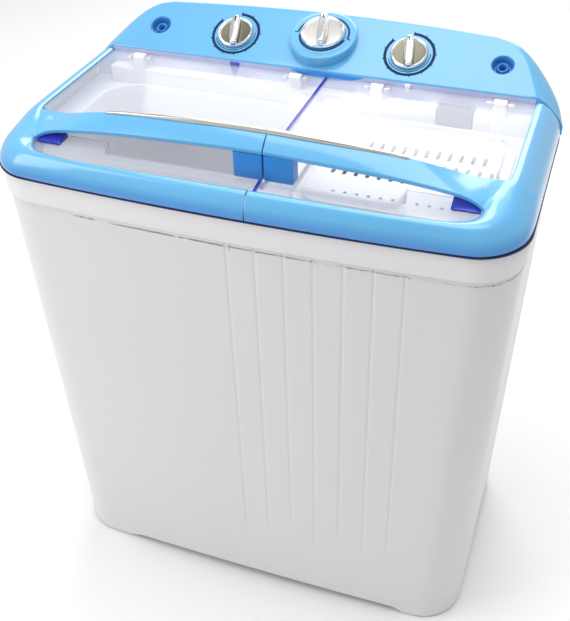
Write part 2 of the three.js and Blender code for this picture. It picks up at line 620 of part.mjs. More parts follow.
// Hooked section between the outer and inner edge of the frame: share 0 is a side rail, which slopes
// away from its inner edge, and 1 the rounded front rim. Shares of the width, and heights.
function railSection({ outer, inner, edge, share }) {
  const at = (across, z) => [
    THREE.MathUtils.lerp(outer[0], inner[0], across),
    THREE.MathUtils.lerp(outer[1], inner[1], across),
    z,
  ];
  const between = (a, b) => THREE.MathUtils.lerp(a, b, share);
  const skin = WALL / Math.hypot(outer[0] - inner[0], outer[1] - inner[1]);
  const { crest } = RIM;
  const top = [
    [between(0.08, 0.06), between(edge - 20, crest - 10.5)],
    [between(0.3, 0.14), between(edge - 12.8, crest - 6)],
    [between(0.55, 0.32), between(edge - 6.2, crest - 1.4)],
    [between(0.82, 0.55), between(edge - 1, crest)],
  ];
  return [
    at(0, TOP_Z),
    at(0, 606),
    ...top.map(([across, z]) => at(across, z)),
    at(1, edge),
    at(1, edge - 2.3),
    at(top[3][0], between(edge - 2.3, crest - 2.6)),
    at(top[2][0] + skin * 0.3, top[2][1] - 3),
    at(top[1][0] + skin * 0.5, top[1][1] - 3.2),
    at(top[0][0] + skin * 0.8, top[0][1] - 3),
    at(skin, 603),
    at(skin, TOP_Z),
  ];
}

function barSolid(seam, end, webEnd) {
  const stations = [seam, 60, 110, 150, 180, 200, 215, 232, 250, 258, end];
  const section = (x) => {
    const [yr, zr, zf] = [barRearY(x), barRearZ(x), barFrontZ(x)];
    const foot = windowZ(yr - 2.5) + GAP;
    const top = Math.max(zr, foot + 2.2);
    return [
      [yr, foot],
      [yr, top - 1],
      [yr - 1.5, top],
      [yr - 5, top],
      [BAR.front + 1, zf + 1.5],
      [BAR.front, zf - 1],
      [BAR.front, zf - 4],
      [BAR.front + 2, zf - 4],
      [yr - 6, top - 1.9],
      [yr - 2.5, top - 1.9],
      [yr - 2.5, foot],
    ].map(([y, z]) => [x, y, z]);
  };
  const bar = loft(stations.map(section));
  const [x0, x1] = [Math.min(seam, webEnd), Math.max(seam, webEnd)];
  const web = alongX(
    [
      [BAR.front + 0.4, 611],
      [BAR.front + 0.4, 644],
      [-102, 652],
      [-102, 646],
      [-110, 638],
      [-110, 611],
    ],
    x0,
    x1,
  );
  return join(bar, web);
}

function lidFrame(side) {
  const mirror = side === "wash" ? -1 : 1;
  const seam = (side === "wash" ? -SEAM_X : SEAM_X) + SEAM_GAP / 2;
  const rail = loft(railStations(seam).map(railSection));
  const bar = barSolid(seam, BAR.end, seam + WEB_WIDTH);
  return join(rail, bar).scale(mirror, 1, 1);
}

// The clear moulding: a flat window, a step down under the bar with the finger recess in it, and a
// ledge that runs forward under the rim.
function lidWindow(side) {
  const mirror = side === "wash" ? -1 : 1;
  const seam = (side === "wash" ? -SEAM_X : SEAM_X) + SEAM_GAP / 2;
  const t = WINDOW.thick;
  const [rear, turnY] = [LID_REAR_Y, barRearY(0) - 3.2];
  const turnZ = windowZ(turnY);
  const { half, front, back, floorZ } = POCKET;
  const recess = [
    [rear, windowZ(rear)],
    [turnY, turnZ],
    [back - 1, floorZ],
    [front + 2, floorZ],
    [front - 1, 617],
    [-157, 613],
    [-157, 613 - t],
    [front - 1 - t, 617 - t],
    [front + 2 - t, floorZ - t],
    [back + t - 1, floorZ - t],
    [turnY + t, turnZ - t],
    [rear, windowZ(rear) - t],
  ];
  const plain = [
    [rear, windowZ(rear)],
    [turnY, turnZ],
    [turnY - 2, 619],
    [-157, 613],
    [-157, 613 - t],
    [turnY + t - 2, 619 - t],
    [turnY + t, turnZ - t],
    [rear, windowZ(rear) - t],
  ];
  const pocketEnd = [
    [turnY + 1, 621],
    [back - 1, floorZ - t],
    [front, floorZ - t],
    [front - 3, 616],
    [turnY - 2, 619],
  ];
  const sheet = join(
    alongX(recess, seam, half),
    alongX(plain, half - 0.05, 284),
    alongX(pocketEnd, half - t, half + 0.5),
  );
  // Kept inside the hooked section of the frame.
  const room = common(
    loft([ringAt(outline(TOP, 11), 590), ringAt(outline(TOP, 11), 650)]),
    join(
      box(seam, 260, -80, LID_REAR_Y, 590, 650),
      box(259.9, WINDOW.half + 4.5, -75.5, LID_REAR_Y, 590, 650),
      box(seam, 216, -160, -79, 590, 650),
      box(seam, 250, -140, -95, 590, 620),
      box(seam, 236, -157, -95, 590, 619.5),
    ),
  );
  const lugs = HINGE_X[side].flatMap((x) =>
    [-1, 1].map((s) => {
      const cx = mirror * x + s * (POST_HALF + 4.6);
      return join(
        rod(HINGE.lugR, cx - 3.5, cx + 3.5, HINGE.y, HINGE.z, 12),
        box(cx - 3.5, cx + 3.5, HINGE.y - 6, HINGE.y + 6, HINGE.z, HINGE.z + 3.4),
      );
    }),
  );
  const bores = HINGE_X[side].map((x) => rod(HINGE.boreR, mirror * x - 20, mirror * x + 20, HINGE.y, HINGE.z, 10));
  const reliefs = HINGE_X[side].map((x) =>
    box(mirror * x - POST_HALF - 1.1, mirror * x + POST_HALF + 1.1, HINGE.y - 8, LID_REAR_Y + 1, 620, 640),
  );
  return cut(join(common(sheet, room), ...lugs), ...reliefs, ...bores).scale(mirror, 1, 1);
}

// Bright strip along the back edge of the bar, tapering to a point at its outer end.
function lidTrim(side) {
  const mirror = side === "wash" ? -1 : 1;
  const seam = (side === "wash" ? -SEAM_X : SEAM_X) + SEAM_GAP / 2;
  const rings = [seam, 60, 110, 150, 165].map((x) => {
    const wide = 5.2 - 3.4 * THREE.MathUtils.inverseLerp(seam, 165, x) ** 3;
    const z = barRearZ(x) + GAP;
    const rear = barRearY(x);
    return [
      [x, rear - 0.2, z],
      [x, rear - 0.8, z + 2.6],
      [x, rear - wide + 1, z + 2.9],
      [x, rear - wide, z],
    ];
  });
  return loft(rings).scale(mirror, 1, 1);
}

function lids() {
  for (const side of ["wash", "spin"]) {
    part(`${side}_lid_frame`, lidFrame(side), material.bluePlastic);
    part(`${side}_lid_window`, lidWindow(side), material.clearPlastic);
    part(`${side}_lid_trim`, lidTrim(side), material.chrome);
    HINGE_X[side].forEach((x, i) => {
      const where = ["outer", "inner"][side === "wash" ? i : 1 - i];
      part(`${side}_lid_pin_${where}`, rod(HINGE.pinR, x - POST_HALF - 8, x + POST_HALF + 8, HINGE.y, HINGE.z, 8), material.steel);
    });
  }
}

// White slotted cover that closes the mouth of the spin tub, hinged at its back edge.
const INNER_COVER = { z: 600, y0: -118, y1: 62, x0: 54, x1: 242, hingeY: 66, hingeZ: 600 };

function spinInnerCover() {
  const { z, y0, y1, x0, x1, hingeY, hingeZ } = INNER_COVER;
  const sheet = roundedSlab(x0, x1, y0, y1, 22, z - 2.6, z);
  const rows = [[7, 100, 11], [-22, 124, 10], [-52, 76, 12]]; // y, first x, number of slots
  const slots = rows.flatMap(([y, first, count]) =>
    Array.from({ length: count }, (_, i) => {
      const x = first + i * 12.6;
      return box(x - 2.3, x + 2.3, y - 9.5, y + 9.5, z - 6, z + 6);
    }),
  );
  const dots = Array.from({ length: 11 }, (_, i) => drum(2.2, z - 6, z + 6, 88 + i * 12.6, -96, 6));
  const knuckles = [70, 226].map((x) =>
    join(rod(3.4, x - 7, x + 7, hingeY, hingeZ - 1, 10), box(x - 7, x + 7, y1 - 5, hingeY, z - 2.6, z)),
  );
  part("spin_inner_cover", cut(join(sheet, ...knuckles), ...slots, ...dots), material.whitePlastic);
}

function lidSwitch() {
  const housing = cut(box(156, 196, 82, 95.6, DECK_Z + GAP, 619.8), box(159, 193, 85, 93, 600, 630));
  part("lid_switch", housing, material.greyPlastic);
}

// ---------------------------------------------------------------- wash drive
function washDrive() {
  const { x, y, r } = PULSATOR;
  const floor = WASH.floorZ;
  const dish = turned([[0, floor - 5], [r - 6, floor - 5], [r, floor - 1], [r - 8, floor + 4], [26, floor + 8], [20, floor + 17], [0, floor + 21]], x, y, 20);
  const fins = [0, 1, 2].map((i) => {
    const fin = box(14, r - 9, -5, 5, floor, floor + 16);
    return fin.rotateZ((i * Math.PI * 2) / 3 + 0.3).translate(x, y, 0);
  });
  part("pulsator", cut(join(dish, ...fins), drum(6.4, floor - 9, floor + 12, x, y, 10)), material.whitePlastic);
  part("pulsator_shaft", turned([[0, 103], [6, 103], [6, floor + 11.4], [0, floor + 11.4]], x, y, 10), material.steel);
  const seal = cut(
    join(drum(10.4, floor - 16, floor - 5.6, x, y, 12), drum(16, floor - 18, floor - 14.4, x, y, 12)),
    drum(6.7, floor - 30, floor + 5, x, y, 10),
  );
  part("pulsator_seal", seal, material.rubber);
  const gearbox = cut(
    join(
      turned([[0, 134], [38, 134], [44, 142], [44, 178], [30, 191], [0, 191]], x, y, 14),
      drum(14, 126, 140, x, y, 12),
      box(x - 60, x + 60, y - 12, y + 12, 184, 191),
    ),
    drum(6.7, 120, 200, x, y, 10),
  );
  part("reduction_gearbox", gearbox, material.aluminium);
  const grooved = (rim, bore) => [
    [bore, BELT_Z - 7],
    [rim, BELT_Z - 7],
    [rim, BELT_Z - 5],
    [rim - 5, BELT_Z - 3],
    [rim - 5, BELT_Z + 3],
    [rim, BELT_Z + 5],
    [rim, BELT_Z + 7],
    [bore, BELT_Z + 7],
    [bore, BELT_Z - 7],
  ];
  part("driven_pulley", turned(grooved(58, 6.7), x, y, 20), material.aluminium);
  const motor = WASH_MOTOR;
  part(
    "motor_pulley",
    join(turned(grooved(20, 3), motor.x, motor.y, 16), drum(4.1, 103, 158, motor.x, motor.y, 12)),
    material.aluminium,
  );
  const can = join(
    turned([[0, 134], [34, 134], [42, 142], [42, 180], [34, 188], [0, 188]], motor.x, motor.y, 14),
    drum(12, 128, 140, motor.x, motor.y, 12),
    box(motor.x - 56, motor.x + 56, motor.y - 9, motor.y + 9, 184, 191),
  );
  part("wash_motor", cut(can, drum(4.5, 120, 160, motor.x, motor.y, 12)), material.steel);
  part("drive_belt", beltLoop(x, y, 54.8, motor.x, motor.y, 16.3), material.rubber);
  const shield = cut(
    box(-250, 30, -100, 118, 191.4, 194.4),
    drum(20, 190, 199, x, y, 16),
    drum(12, 190, 199, -222, 40, 12),
  );
  part("drive_mount_plate", shield, material.steel);
}

// A flat belt loop round two pulleys, drawn as the outline of both with its tangent runs.
function beltLoop(ax, ay, ar, bx, by, br) {
  const thick = 4;
  const turn = Math.atan2(by - ay, bx - ax);
  const reach = Math.hypot(bx - ax, by - ay);
  const spread = Math.acos((ar - br) / reach);
  const loop = (grow) => {
    const shape = new THREE.Shape();
    shape.absarc(ax, ay, ar + grow, turn + spread, turn - spread + Math.PI * 2);
    shape.absarc(bx, by, br + grow, turn - spread, turn + spread);
    return shape;
  };
  return cut(slab(loop(thick), BELT_Z - 2.6, BELT_Z + 2.6, 8), slab(loop(0), BELT_Z - 9, BELT_Z + 9, 8));
}

// ---------------------------------------------------------------- spin drive
function spinDrive() {
  const { x, y, floorZ } = SPIN;
  const { r, floorZ: low, topZ, mouthR } = BASKET;
  const shell = turned(
    [
      [10, low],
      [r - 8, low],
      [r, low + 8],
      [r, topZ - 12],
      [r + 3, topZ - 8],
      [r + 3, topZ],
      [mouthR, topZ],
      [mouthR, topZ - 16],
      [r - 2.4, topZ - 20],
      [r - 2.4, low + 10],
      [r - 9, low + 2.4],
      [30, low + 2.4],
      [16, low + 40],
      [10, low + 42],
      [10, low],
    ],
    x,
    y,
    24,
  );
  const holes = [];
  for (const z of [310, 410, 510])
    for (let i = 0; i < 3; i++)
      holes.push(box(-r - 5, r + 5, -3, 3, z - 16, z + 16).rotateZ((i * Math.PI) / 4 + z / 250).translate(x, y, 0));
  part("spin_basket", cut(shell, ...holes), material.whitePlastic);
  part("spin_shaft", join(drum(9.5, 168, low + 36, x, y, 16), drum(13, 160, 171, x, y, 16)), material.steel);
  const bellows = cut(
    turned([[10.2, 176], [30, 176], [30, floorZ - GAP], [23.6, floorZ - GAP], [23.6, floorZ + 6], [16, floorZ + 12], [10.2, floorZ + 12], [10.2, 176]], x, y, 14),
    drum(9.9, 170, 210, x, y, 16),
  );
  part("spin_shaft_seal", bellows, material.rubber);
  part("brake_drum", join(drum(34, 150, 159.6, x, y, 20), drum(7, 102, 159, x, y, 12)), material.aluminium);
  const motor = cut(
    join(
      turned([[0, 62], [50, 62], [56, 70], [56, 128], [48, 138], [0, 138]], x, y, 18),
      ...[0, 1, 2].map((i) => box(30, 78, -10, 10, 70, 76).rotateZ((i * Math.PI * 2) / 3 + 0.5).translate(x, y, 0)),
    ),
    drum(7.4, 100, 150, x, y, 12),
  );
  part("spin_motor", motor, material.steel);
  for (let i = 0; i < 3; i++) {
    const a = (i * Math.PI * 2) / 3 + 0.5;
    const post = turned(
      [[0, BASE_Z + 4 + GAP], [11, BASE_Z + 4 + GAP], [11, 42], [8, 47], [11, 52], [8, 57], [11, 62], [11, 70 - GAP], [0, 70 - GAP]],
      x + 68 * Math.cos(a),
      y + 68 * Math.sin(a),
      10,
    );
    part(`motor_spring_mount_${i + 1}`, post, material.rubber);
  }
  const { dx, dy, postR } = BRAKE_POST;
  const lever = join(
    box(x + 34.4, x + 40, y - 14, y + 14, 150, 159),
    box(x + 36, x + 42, y, y + dy, 152, 157),
    drum(9, 152, 157, x + dx, y + dy, 16),
  );
  part("brake_lever", cut(lever, drum(postR + 0.5, 140, 170, x + dx, y + dy, 16)), material.steel);
  const disc = cut(
    drum(66, low + 42 + GAP, low + 46, x, y, 20),
    ...[0, 1, 2, 3, 4, 5].map((i) => drum(7, low + 40, low + 60, x + 42 * Math.cos(i * 1.0472), y + 42 * Math.sin(i * 1.0472), 8)),
  );
  part("laundry_press_plate", disc, material.inletPlastic);
}

// ---------------------------------------------------------------- electrics and drain
function services() {
  part("motor_capacitor", join(drum(17, 34 + GAP, 96, 60, 108, 20), drum(5, 95, 101, 60, 108, 10)), material.greyPlastic);
  const valve = join(
    drum(14, 142, 176, -222, 40, 16),
    drum(9, 175, 205.4, -222, 40, 12),
    new THREE.CylinderGeometry(10, 10, 84, 14).translate(-222, 85, 158),
    box(-240, -204, 40, 70, 148, 168),
  );
  const bore = new THREE.CylinderGeometry(7, 7, 90, 12).translate(-222, 110, 158);
  part("drain_valve", cut(valve, drum(6, 160, 215, -222, 40, 12), bore), material.greyPlastic);
}

baseFrame();
feet();
cabinet();
rearCover();
tubDeck();
washTub();
spinTub();
tubFittings();
controlPanel();
waterInlets();
timers();
knobs();
lids();
spinInnerCover();
lidSwitch();
washDrive();
spinDrive();
services();

export default washer;
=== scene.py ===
"""Looks of the twin tub washer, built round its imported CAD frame.

Lengths are millimetres in this file and metres in Blender. +X is right, +Y back, +Z up.
"""
import json
from math import asin, atan2, copysign, cos, exp, pi, radians, sin, sqrt, tan

import bmesh
import bpy
from mathutils import Matrix, Vector


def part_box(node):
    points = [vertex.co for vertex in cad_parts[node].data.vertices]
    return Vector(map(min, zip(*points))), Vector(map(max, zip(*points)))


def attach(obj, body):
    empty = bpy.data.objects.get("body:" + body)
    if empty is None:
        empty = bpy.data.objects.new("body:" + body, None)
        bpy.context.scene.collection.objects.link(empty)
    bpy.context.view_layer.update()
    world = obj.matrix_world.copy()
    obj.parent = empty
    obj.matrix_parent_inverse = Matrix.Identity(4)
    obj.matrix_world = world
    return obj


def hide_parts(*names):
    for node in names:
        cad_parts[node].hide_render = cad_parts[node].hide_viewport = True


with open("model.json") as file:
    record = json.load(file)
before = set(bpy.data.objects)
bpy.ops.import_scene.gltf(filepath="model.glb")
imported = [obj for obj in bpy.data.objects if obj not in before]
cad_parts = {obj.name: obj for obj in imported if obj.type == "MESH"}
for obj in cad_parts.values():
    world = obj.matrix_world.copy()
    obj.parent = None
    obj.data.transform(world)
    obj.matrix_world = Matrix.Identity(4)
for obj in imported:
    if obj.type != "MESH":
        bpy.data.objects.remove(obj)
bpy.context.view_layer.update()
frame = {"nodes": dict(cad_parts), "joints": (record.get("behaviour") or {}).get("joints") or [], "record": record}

MM = 0.001
JOINTS = {j["name"]: j for j in frame["joints"]}
SLOT_OF = {p["node"]: p["material_slot"] for p in frame["record"]["subparts"]}


def box_mm(node):
    low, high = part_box(node)
    return low / MM, high / MM


def joint_mm(name):
    return Vector(JOINTS[name]["pos_m"]) / MM


# ---- sizes taken from the frame
panel_low, panel_high = box_mm("control_panel")
cabinet_low, cabinet_high = box_mm("cabinet")
deck_low = box_mm("tub_deck")[0]
cover_low, cover_high = box_mm("spin_inner_cover")
wash_low, wash_high = box_mm("wash_tub")
spin_low, spin_high = box_mm("spin_outer_tub")

HALF = panel_high.x  # half the width of the blue top
# Plan outlines: half width, y of front and back at the corners, how far their middles bow out, corner radii.
PLAN = ("half", "front", "front_bow", "back", "back_bow", "front_r", "back_r")
TOP = dict(zip(PLAN, (HALF, -164, 10.5, 162, 12.5, 55, 75)))
SKIRT = dict(zip(PLAN, (HALF - 3, -161, 10.5, 159, 12.5, 52, 72)))
CASING_HEAD = dict(zip(PLAN, (cabinet_high.x, -158, 10.5, 154, 6, 50, 50)))
CASING_FOOT = dict(zip(PLAN, (cabinet_high.x - 13, -156, 10.5, 146, 6, 50, 50)))

TOP_Z = panel_low.z + 0.2
DECK_Z = 594.8  # the deck's upper face
COAMING_Z = wash_high.z
HINGE = joint_mm("wash_lid_hinge")
SEAM, SEAM_GAP = 19.6, 1.4  # x of the gap between the lids, and its width
LID_REAR = box_mm("spin_lid_window")[1].y
TILT = asin(JOINTS["wash_timer_turn"]["axis"][1])
DIAL_S = 39.5  # distances up the panel's slope from its front edge end in _S
TIMER = joint_mm("spin_timer_turn")
TIMER_X = TIMER.x
PANEL_Y0, PANEL_Z0 = TIMER.y - DIAL_S * cos(TILT), TIMER.z - DIAL_S * sin(TILT)
PANEL_FRONT, PANEL_CROWN = 99.5, 2.6
BACK_EDGE, END_EDGE, FRONT_EDGE = 3.5, (32.0, 30.0), 1.6  # END_EDGE is the slope at each end: across, down
SELECTOR = joint_mm("selector_turn")
BOSS_TILT = asin(JOINTS["selector_turn"]["axis"][1])
BOSS_S, BOSS_R, BOSS_HIGH = 47.5, 41.0, 8.5
INLETS = {side: sum((v.x for v in box_mm(f"water_inlet_{side}"))) / 2 for side in ("left", "right")}
INLET_S = {"left": 39.5, "right": 40.5}
POST_HALF = 7.6
LID_WALL, CLEAR_WALL, CASING_WALL, TUB_WALL, BASKET_WALL = 2.3, 2.4, 2.4, 1.6, 2.2
BACK_OPENING = (225, 70, 470)  # half width, lowest and highest z
COVER_TOP, SLOT_PITCH = 600.0, 12.6
LENS, SENSOR = 54.10, 36.0
HINGE_X = {"wash": (-222.0, -17.0), "spin": (83.0, 225.0)}
PULSATOR = joint_mm("wash_rotor_spin")
SPIN = joint_mm("spin_rotor_spin")


def window_z(y):
    return 630.4 + (LID_REAR - y) * 0.012


# ---- camera
RIGHT = Vector((0.941198, 0.337021, -0.023729))
DOWN = Vector((0.193224, -0.594568, -0.780483))
FORWARD = Vector((-0.277148, 0.730004, -0.624727))
CAMERA_AT = Vector((0.33148, -0.88691, 1.10474))


def add_camera():
    data = bpy.data.cameras.new("camera")
    data.lens = LENS
    data.sensor_width = SENSOR
    camera = bpy.data.objects.new("camera", data)
    turn = Matrix((RIGHT, -DOWN, -FORWARD)).transposed().to_4x4()
    camera.matrix_world = Matrix.Translation(CAMERA_AT) @ turn
    bpy.context.scene.collection.objects.link(camera)
    bpy.context.scene.camera = camera


add_camera()


# ---- mesh tools
def soften(mesh, sharp=38):
    mesh.polygons.foreach_set("use_smooth", [True] * len(mesh.polygons))
    mesh.set_sharp_from_angle(angle=radians(sharp))


def build(name, points, faces, sharp=38, away=None, up=None, weld=0.01):
    """A mesh object from points in mm. Its faces turn away from the point `away`, along `up`, or outwards."""
    bm = bmesh.new()
    verts = [bm.verts.new([c * MM for c in p]) for p in points]
    for face in faces:
        if len(set(face)) > 2:
            bm.faces.new([verts[i] for i in face])
    bmesh.ops.remove_doubles(bm, verts=bm.verts, dist=weld * MM)
    bm.normal_update()
    if away is None and up is None:
        bmesh.ops.recalc_face_normals(bm, faces=bm.faces)
    else:
        centre = Vector(away or (0, 0, 0)) * MM
        total = sum(
            f.calc_area() * f.normal.dot(Vector(up) if up else f.calc_center_median() - centre)
            for f in bm.faces
        )
        if total < 0:
            bmesh.ops.reverse_faces(bm, faces=bm.faces)
    mesh = bpy.data.meshes.new(name)
    bm.to_mesh(mesh)
    bm.free()
    obj = bpy.data.objects.new(name, mesh)
    bpy.context.scene.collection.objects.link(obj)
    soften(mesh, sharp)
    return obj


def rows_faces(rows, wrap=False, first=0):
    """Points and quads of a grid given as rows of points. wrap closes each row on itself."""
    n = len(rows[0])
    points = [p for row in rows for p in row]
    faces = []
    for r in range(len(rows) - 1):
        a, b = first + r * n, first + (r + 1) * n
        for c in range(n if wrap else n - 1):
            d = (c + 1) % n
            faces.append((a + c, a + d, b + d, b + c))
    return points, faces


def sheet_from(name, rows, wrap=False, **more):
    points, faces = rows_faces(rows, wrap)
    return build(name, points, faces, **more)


def loft(name, rings, caps=(True, True), **more):
    """A skin through closed rings with the same number of points, capped at its first and last ring."""
    points, faces = rows_faces(rings, wrap=True)
    n, last = len(rings[0]), (len(rings) - 1) * len(rings[0])
    if caps[0]:
        faces.append(tuple(range(n))[::-1])
    if caps[1]:
        faces.append(tuple(range(last, last + n)))
    return build(name, points, faces, **more)


def lathe(name, profile, sides=64, place=None, **more):
    """Turns [r, z] points about Z, then moves them with place(x, y, z)."""
    place = place or (lambda x, y, z: (x, y, z))
    rings = []
    for r, z in profile:
        r = max(r, 1e-4)
        rings.append([
            place(r * cos(2 * pi * i / sides), r * sin(2 * pi * i / sides), z)
            for i in range(sides)
        ])
    return sheet_from(name, rings, wrap=True, **more)


def settle(obj, sharp=38):
    """Applies the object's modifiers."""
    graph = bpy.context.evaluated_depsgraph_get()
    mesh = bpy.data.meshes.new_from_object(obj.evaluated_get(graph))
    old = obj.data
    obj.modifiers.clear()
    obj.data = mesh
    bpy.data.meshes.remove(old)
    soften(mesh, sharp)
    return obj


def thicken(obj, mm, sharp=38):
    """Gives a sheet thickness on its inner side."""
    mod = obj.modifiers.new("wall", "SOLIDIFY")
    mod.thickness = mm * MM
    mod.offset = -1
    return settle(obj, sharp)


def smooth_surface(obj, levels, sharp=38):
    mod = obj.modifiers.new("smooth", "SUBSURF")
    mod.levels = levels
    mod.render_levels = levels
    return settle(obj, sharp)


def round_edges(obj, mm, segments=3, angle=35, sharp=38):
    mod = obj.modifiers.new("edges", "BEVEL")
    mod.width = mm * MM
    mod.segments = segments
    mod.limit_method = "ANGLE"
    mod.angle_limit = radians(angle)
    return settle(obj, sharp)


def boolean(obj, tool, operation="DIFFERENCE", sharp=38):
    mod = obj.modifiers.new("cut", "BOOLEAN")
    mod.operation = operation
    mod.solver = "EXACT"
    mod.object = tool
    settle(obj, sharp)
    mesh = tool.data
    bpy.data.objects.remove(tool)
    bpy.data.meshes.remove(mesh)
    return obj


def merge(name, objects):
    """Several meshes as one object."""
    bm = bmesh.new()
    for obj in objects:
        bm.from_mesh(obj.data)
    mesh = bpy.data.meshes.new(name)
    bm.to_mesh(mesh)
    bm.free()
    for obj in objects:
        old = obj.data
        bpy.data.objects.remove(obj)
        bpy.data.meshes.remove(old)
    out = bpy.data.objects.new(name, mesh)
    bpy.context.scene.collection.objects.link(out)
    return out


def join(name, objects, sharp=38):
    obj = merge(name, objects)
    soften(obj.data, sharp)
    return obj


def lerp(a, b, t):
    return a + (b - a) * t


def step(low, high, x):
    """0 below low, 1 above high, smooth between."""
    t = min(1.0, max(0.0, (x - low) / (high - low)))
    return t * t * (3 - 2 * t)


def along(table, x):
    """Reads a table of (x, value) pairs with a smooth curve through them."""
    if x <= table[0][0]:
        return table[0][1]
    if x >= table[-1][0]:
        return table[-1][1]
    i = next(k for k in range(1, len(table)) if table[k][0] >= x)
    (x0, v0), (x1, v1) = table[i - 1], table[i]
    slope = (v1 - v0) / (x1 - x0)
    before = (v0 - table[i - 2][1]) / (x0 - table[i - 2][0]) if i > 1 else slope
    after = (table[i + 1][1] - v1) / (table[i + 1][0] - x1) if i + 1 < len(table) else slope
    m0, m1 = (slope + before) / 2 * (x1 - x0), (slope + after) / 2 * (x1 - x0)
    t = (x - x0) / (x1 - x0)
    return (2 * t**3 - 3 * t**2 + 1) * v0 + (t**3 - 2 * t**2 + t) * m0 + (3 * t**2 - 2 * t**3) * v1 + (t**3 - t**2) * m1


# ---- plan outlines
def bowed(plan, x, y):
    """Moves a point of a plan outline out with the bow of its front or back."""
    share = min(1.0, abs(y / (plan["front"] if y < 0 else plan["back"]))) ** 2
    bow = (1 - (x / plan["half"]) ** 2) * share
    return (x, y - plan["front_bow"] * bow) if y < 0 else (x, y + plan["back_bow"] * bow)


def outline(plan, inset=0.0, corner=14, bow=22, side=8, front_xs=None):
    """Points round a plan outline, counter-clockwise from the right end of its front edge, moved in by inset."""
    w, f, b = plan["half"] - inset, plan["front"] + inset, plan["back"] - inset
    rf, rb = max(plan["front_r"] - inset, 3), max(plan["back_r"] - inset, 3)
    arcs = []
    for cx, cy, r, start in (
        (w - rf, f + rf, rf, -90), (w - rb, b - rb, rb, 0), (rb - w, b - rb, rb, 90), (rf - w, f + rf, rf, 180)
    ):
        turn = [radians(start + 90 * i / corner) for i in range(corner + 1)]
        arcs.append([(cx + r * cos(a), cy + r * sin(a)) for a in turn])

    def between(p, q, n):
        return [(lerp(p[0], q[0], i / n), lerp(p[1], q[1], i / n)) for i in range(1, n)]

    ring = arcs[0] + between(arcs[0][-1], arcs[1][0], side) + arcs[1]
    ring += between(arcs[1][-1], arcs[2][0], bow) + arcs[2]
    ring += between(arcs[2][-1], arcs[3][0], side) + arcs[3]
    ring += [(x, f) for x in front_xs] if front_xs else between(arcs[3][-1], arcs[0][0], bow)
    return [bowed(plan, x, y) for x, y in ring]


def at_z(ring, z):
    return [(x, y, z) for x, y in ring]


def rounded_rect(x0, x1, y0, y1, r, corner=10, side=6):
    """Points round a rectangle with corners of radius r, counter-clockwise."""
    ring = []
    centres = ((x1 - r, y0 + r, -90), (x1 - r, y1 - r, 0), (x0 + r, y1 - r, 90), (x0 + r, y0 + r, 180))
    for k, (cx, cy, start) in enumerate(centres):
        arc = [(
            cx + r * cos(radians(start + 90 * i / corner)), cy + r * sin(radians(start + 90 * i / corner))
        ) for i in range(corner + 1)]
        ring += arc
        nx, ny, nstart = centres[(k + 1) % 4]
        p, q = arc[-1], (nx + r * cos(radians(nstart)), ny + r * sin(radians(nstart)))
        ring += [(lerp(p[0], q[0], i / side), lerp(p[1], q[1], i / side)) for i in range(1, side)]
    return ring


def inset_rect(x0, x1, y0, y1, inset, r, corner=10, side=6):
    return rounded_rect(x0 + inset, x1 - inset, y0 + inset, y1 - inset, r, corner, side)


def slot(x0, x1, y0, y1, r, z0, z1, corner=4, side=2):
    """An upright tool that cuts a rounded slot."""
    return loft("tool", [at_z(rounded_rect(x0, x1, y0, y1, r, corner, side), z) for z in (z0, z1)])


def arc(cx, cy, r, degrees):
    return [(cx + r * cos(a), cy + r * sin(a)) for a in map(radians, degrees)]


def on_plane(x, s, h=0.0):
    """A point on the sloping plane of the panel: x across, s up the slope, h out of it."""
    return (
        x,
        PANEL_Y0 + s * cos(TILT) - h * sin(TILT),
        PANEL_Z0 + s * sin(TILT) + h * cos(TILT),
    )


def crown(x, y):
    """How far the panel's surface rises above that plane."""
    return PANEL_CROWN * (1 - (x / HALF) ** 2) * max(0.0, (y - PANEL_Y0) / 76) ** 2


def on_panel(x, s, h=0.0):
    x, y, z = on_plane(x, s, h)
    return (x, y, z + crown(x, y))


def dial_place(cx, cs, ch=0.0):
    return lambda x, y, z: on_panel(cx + x, cs + y, ch + z)


def on_boss(x, y, z):
    """A point on the leaning top face of the selector's boss, measured from the selector's axis."""
    c, s = cos(BOSS_TILT), sin(BOSS_TILT)
    return (SELECTOR.x + x, SELECTOR.y + y * c - z * s, SELECTOR.z + y * s + z * c)


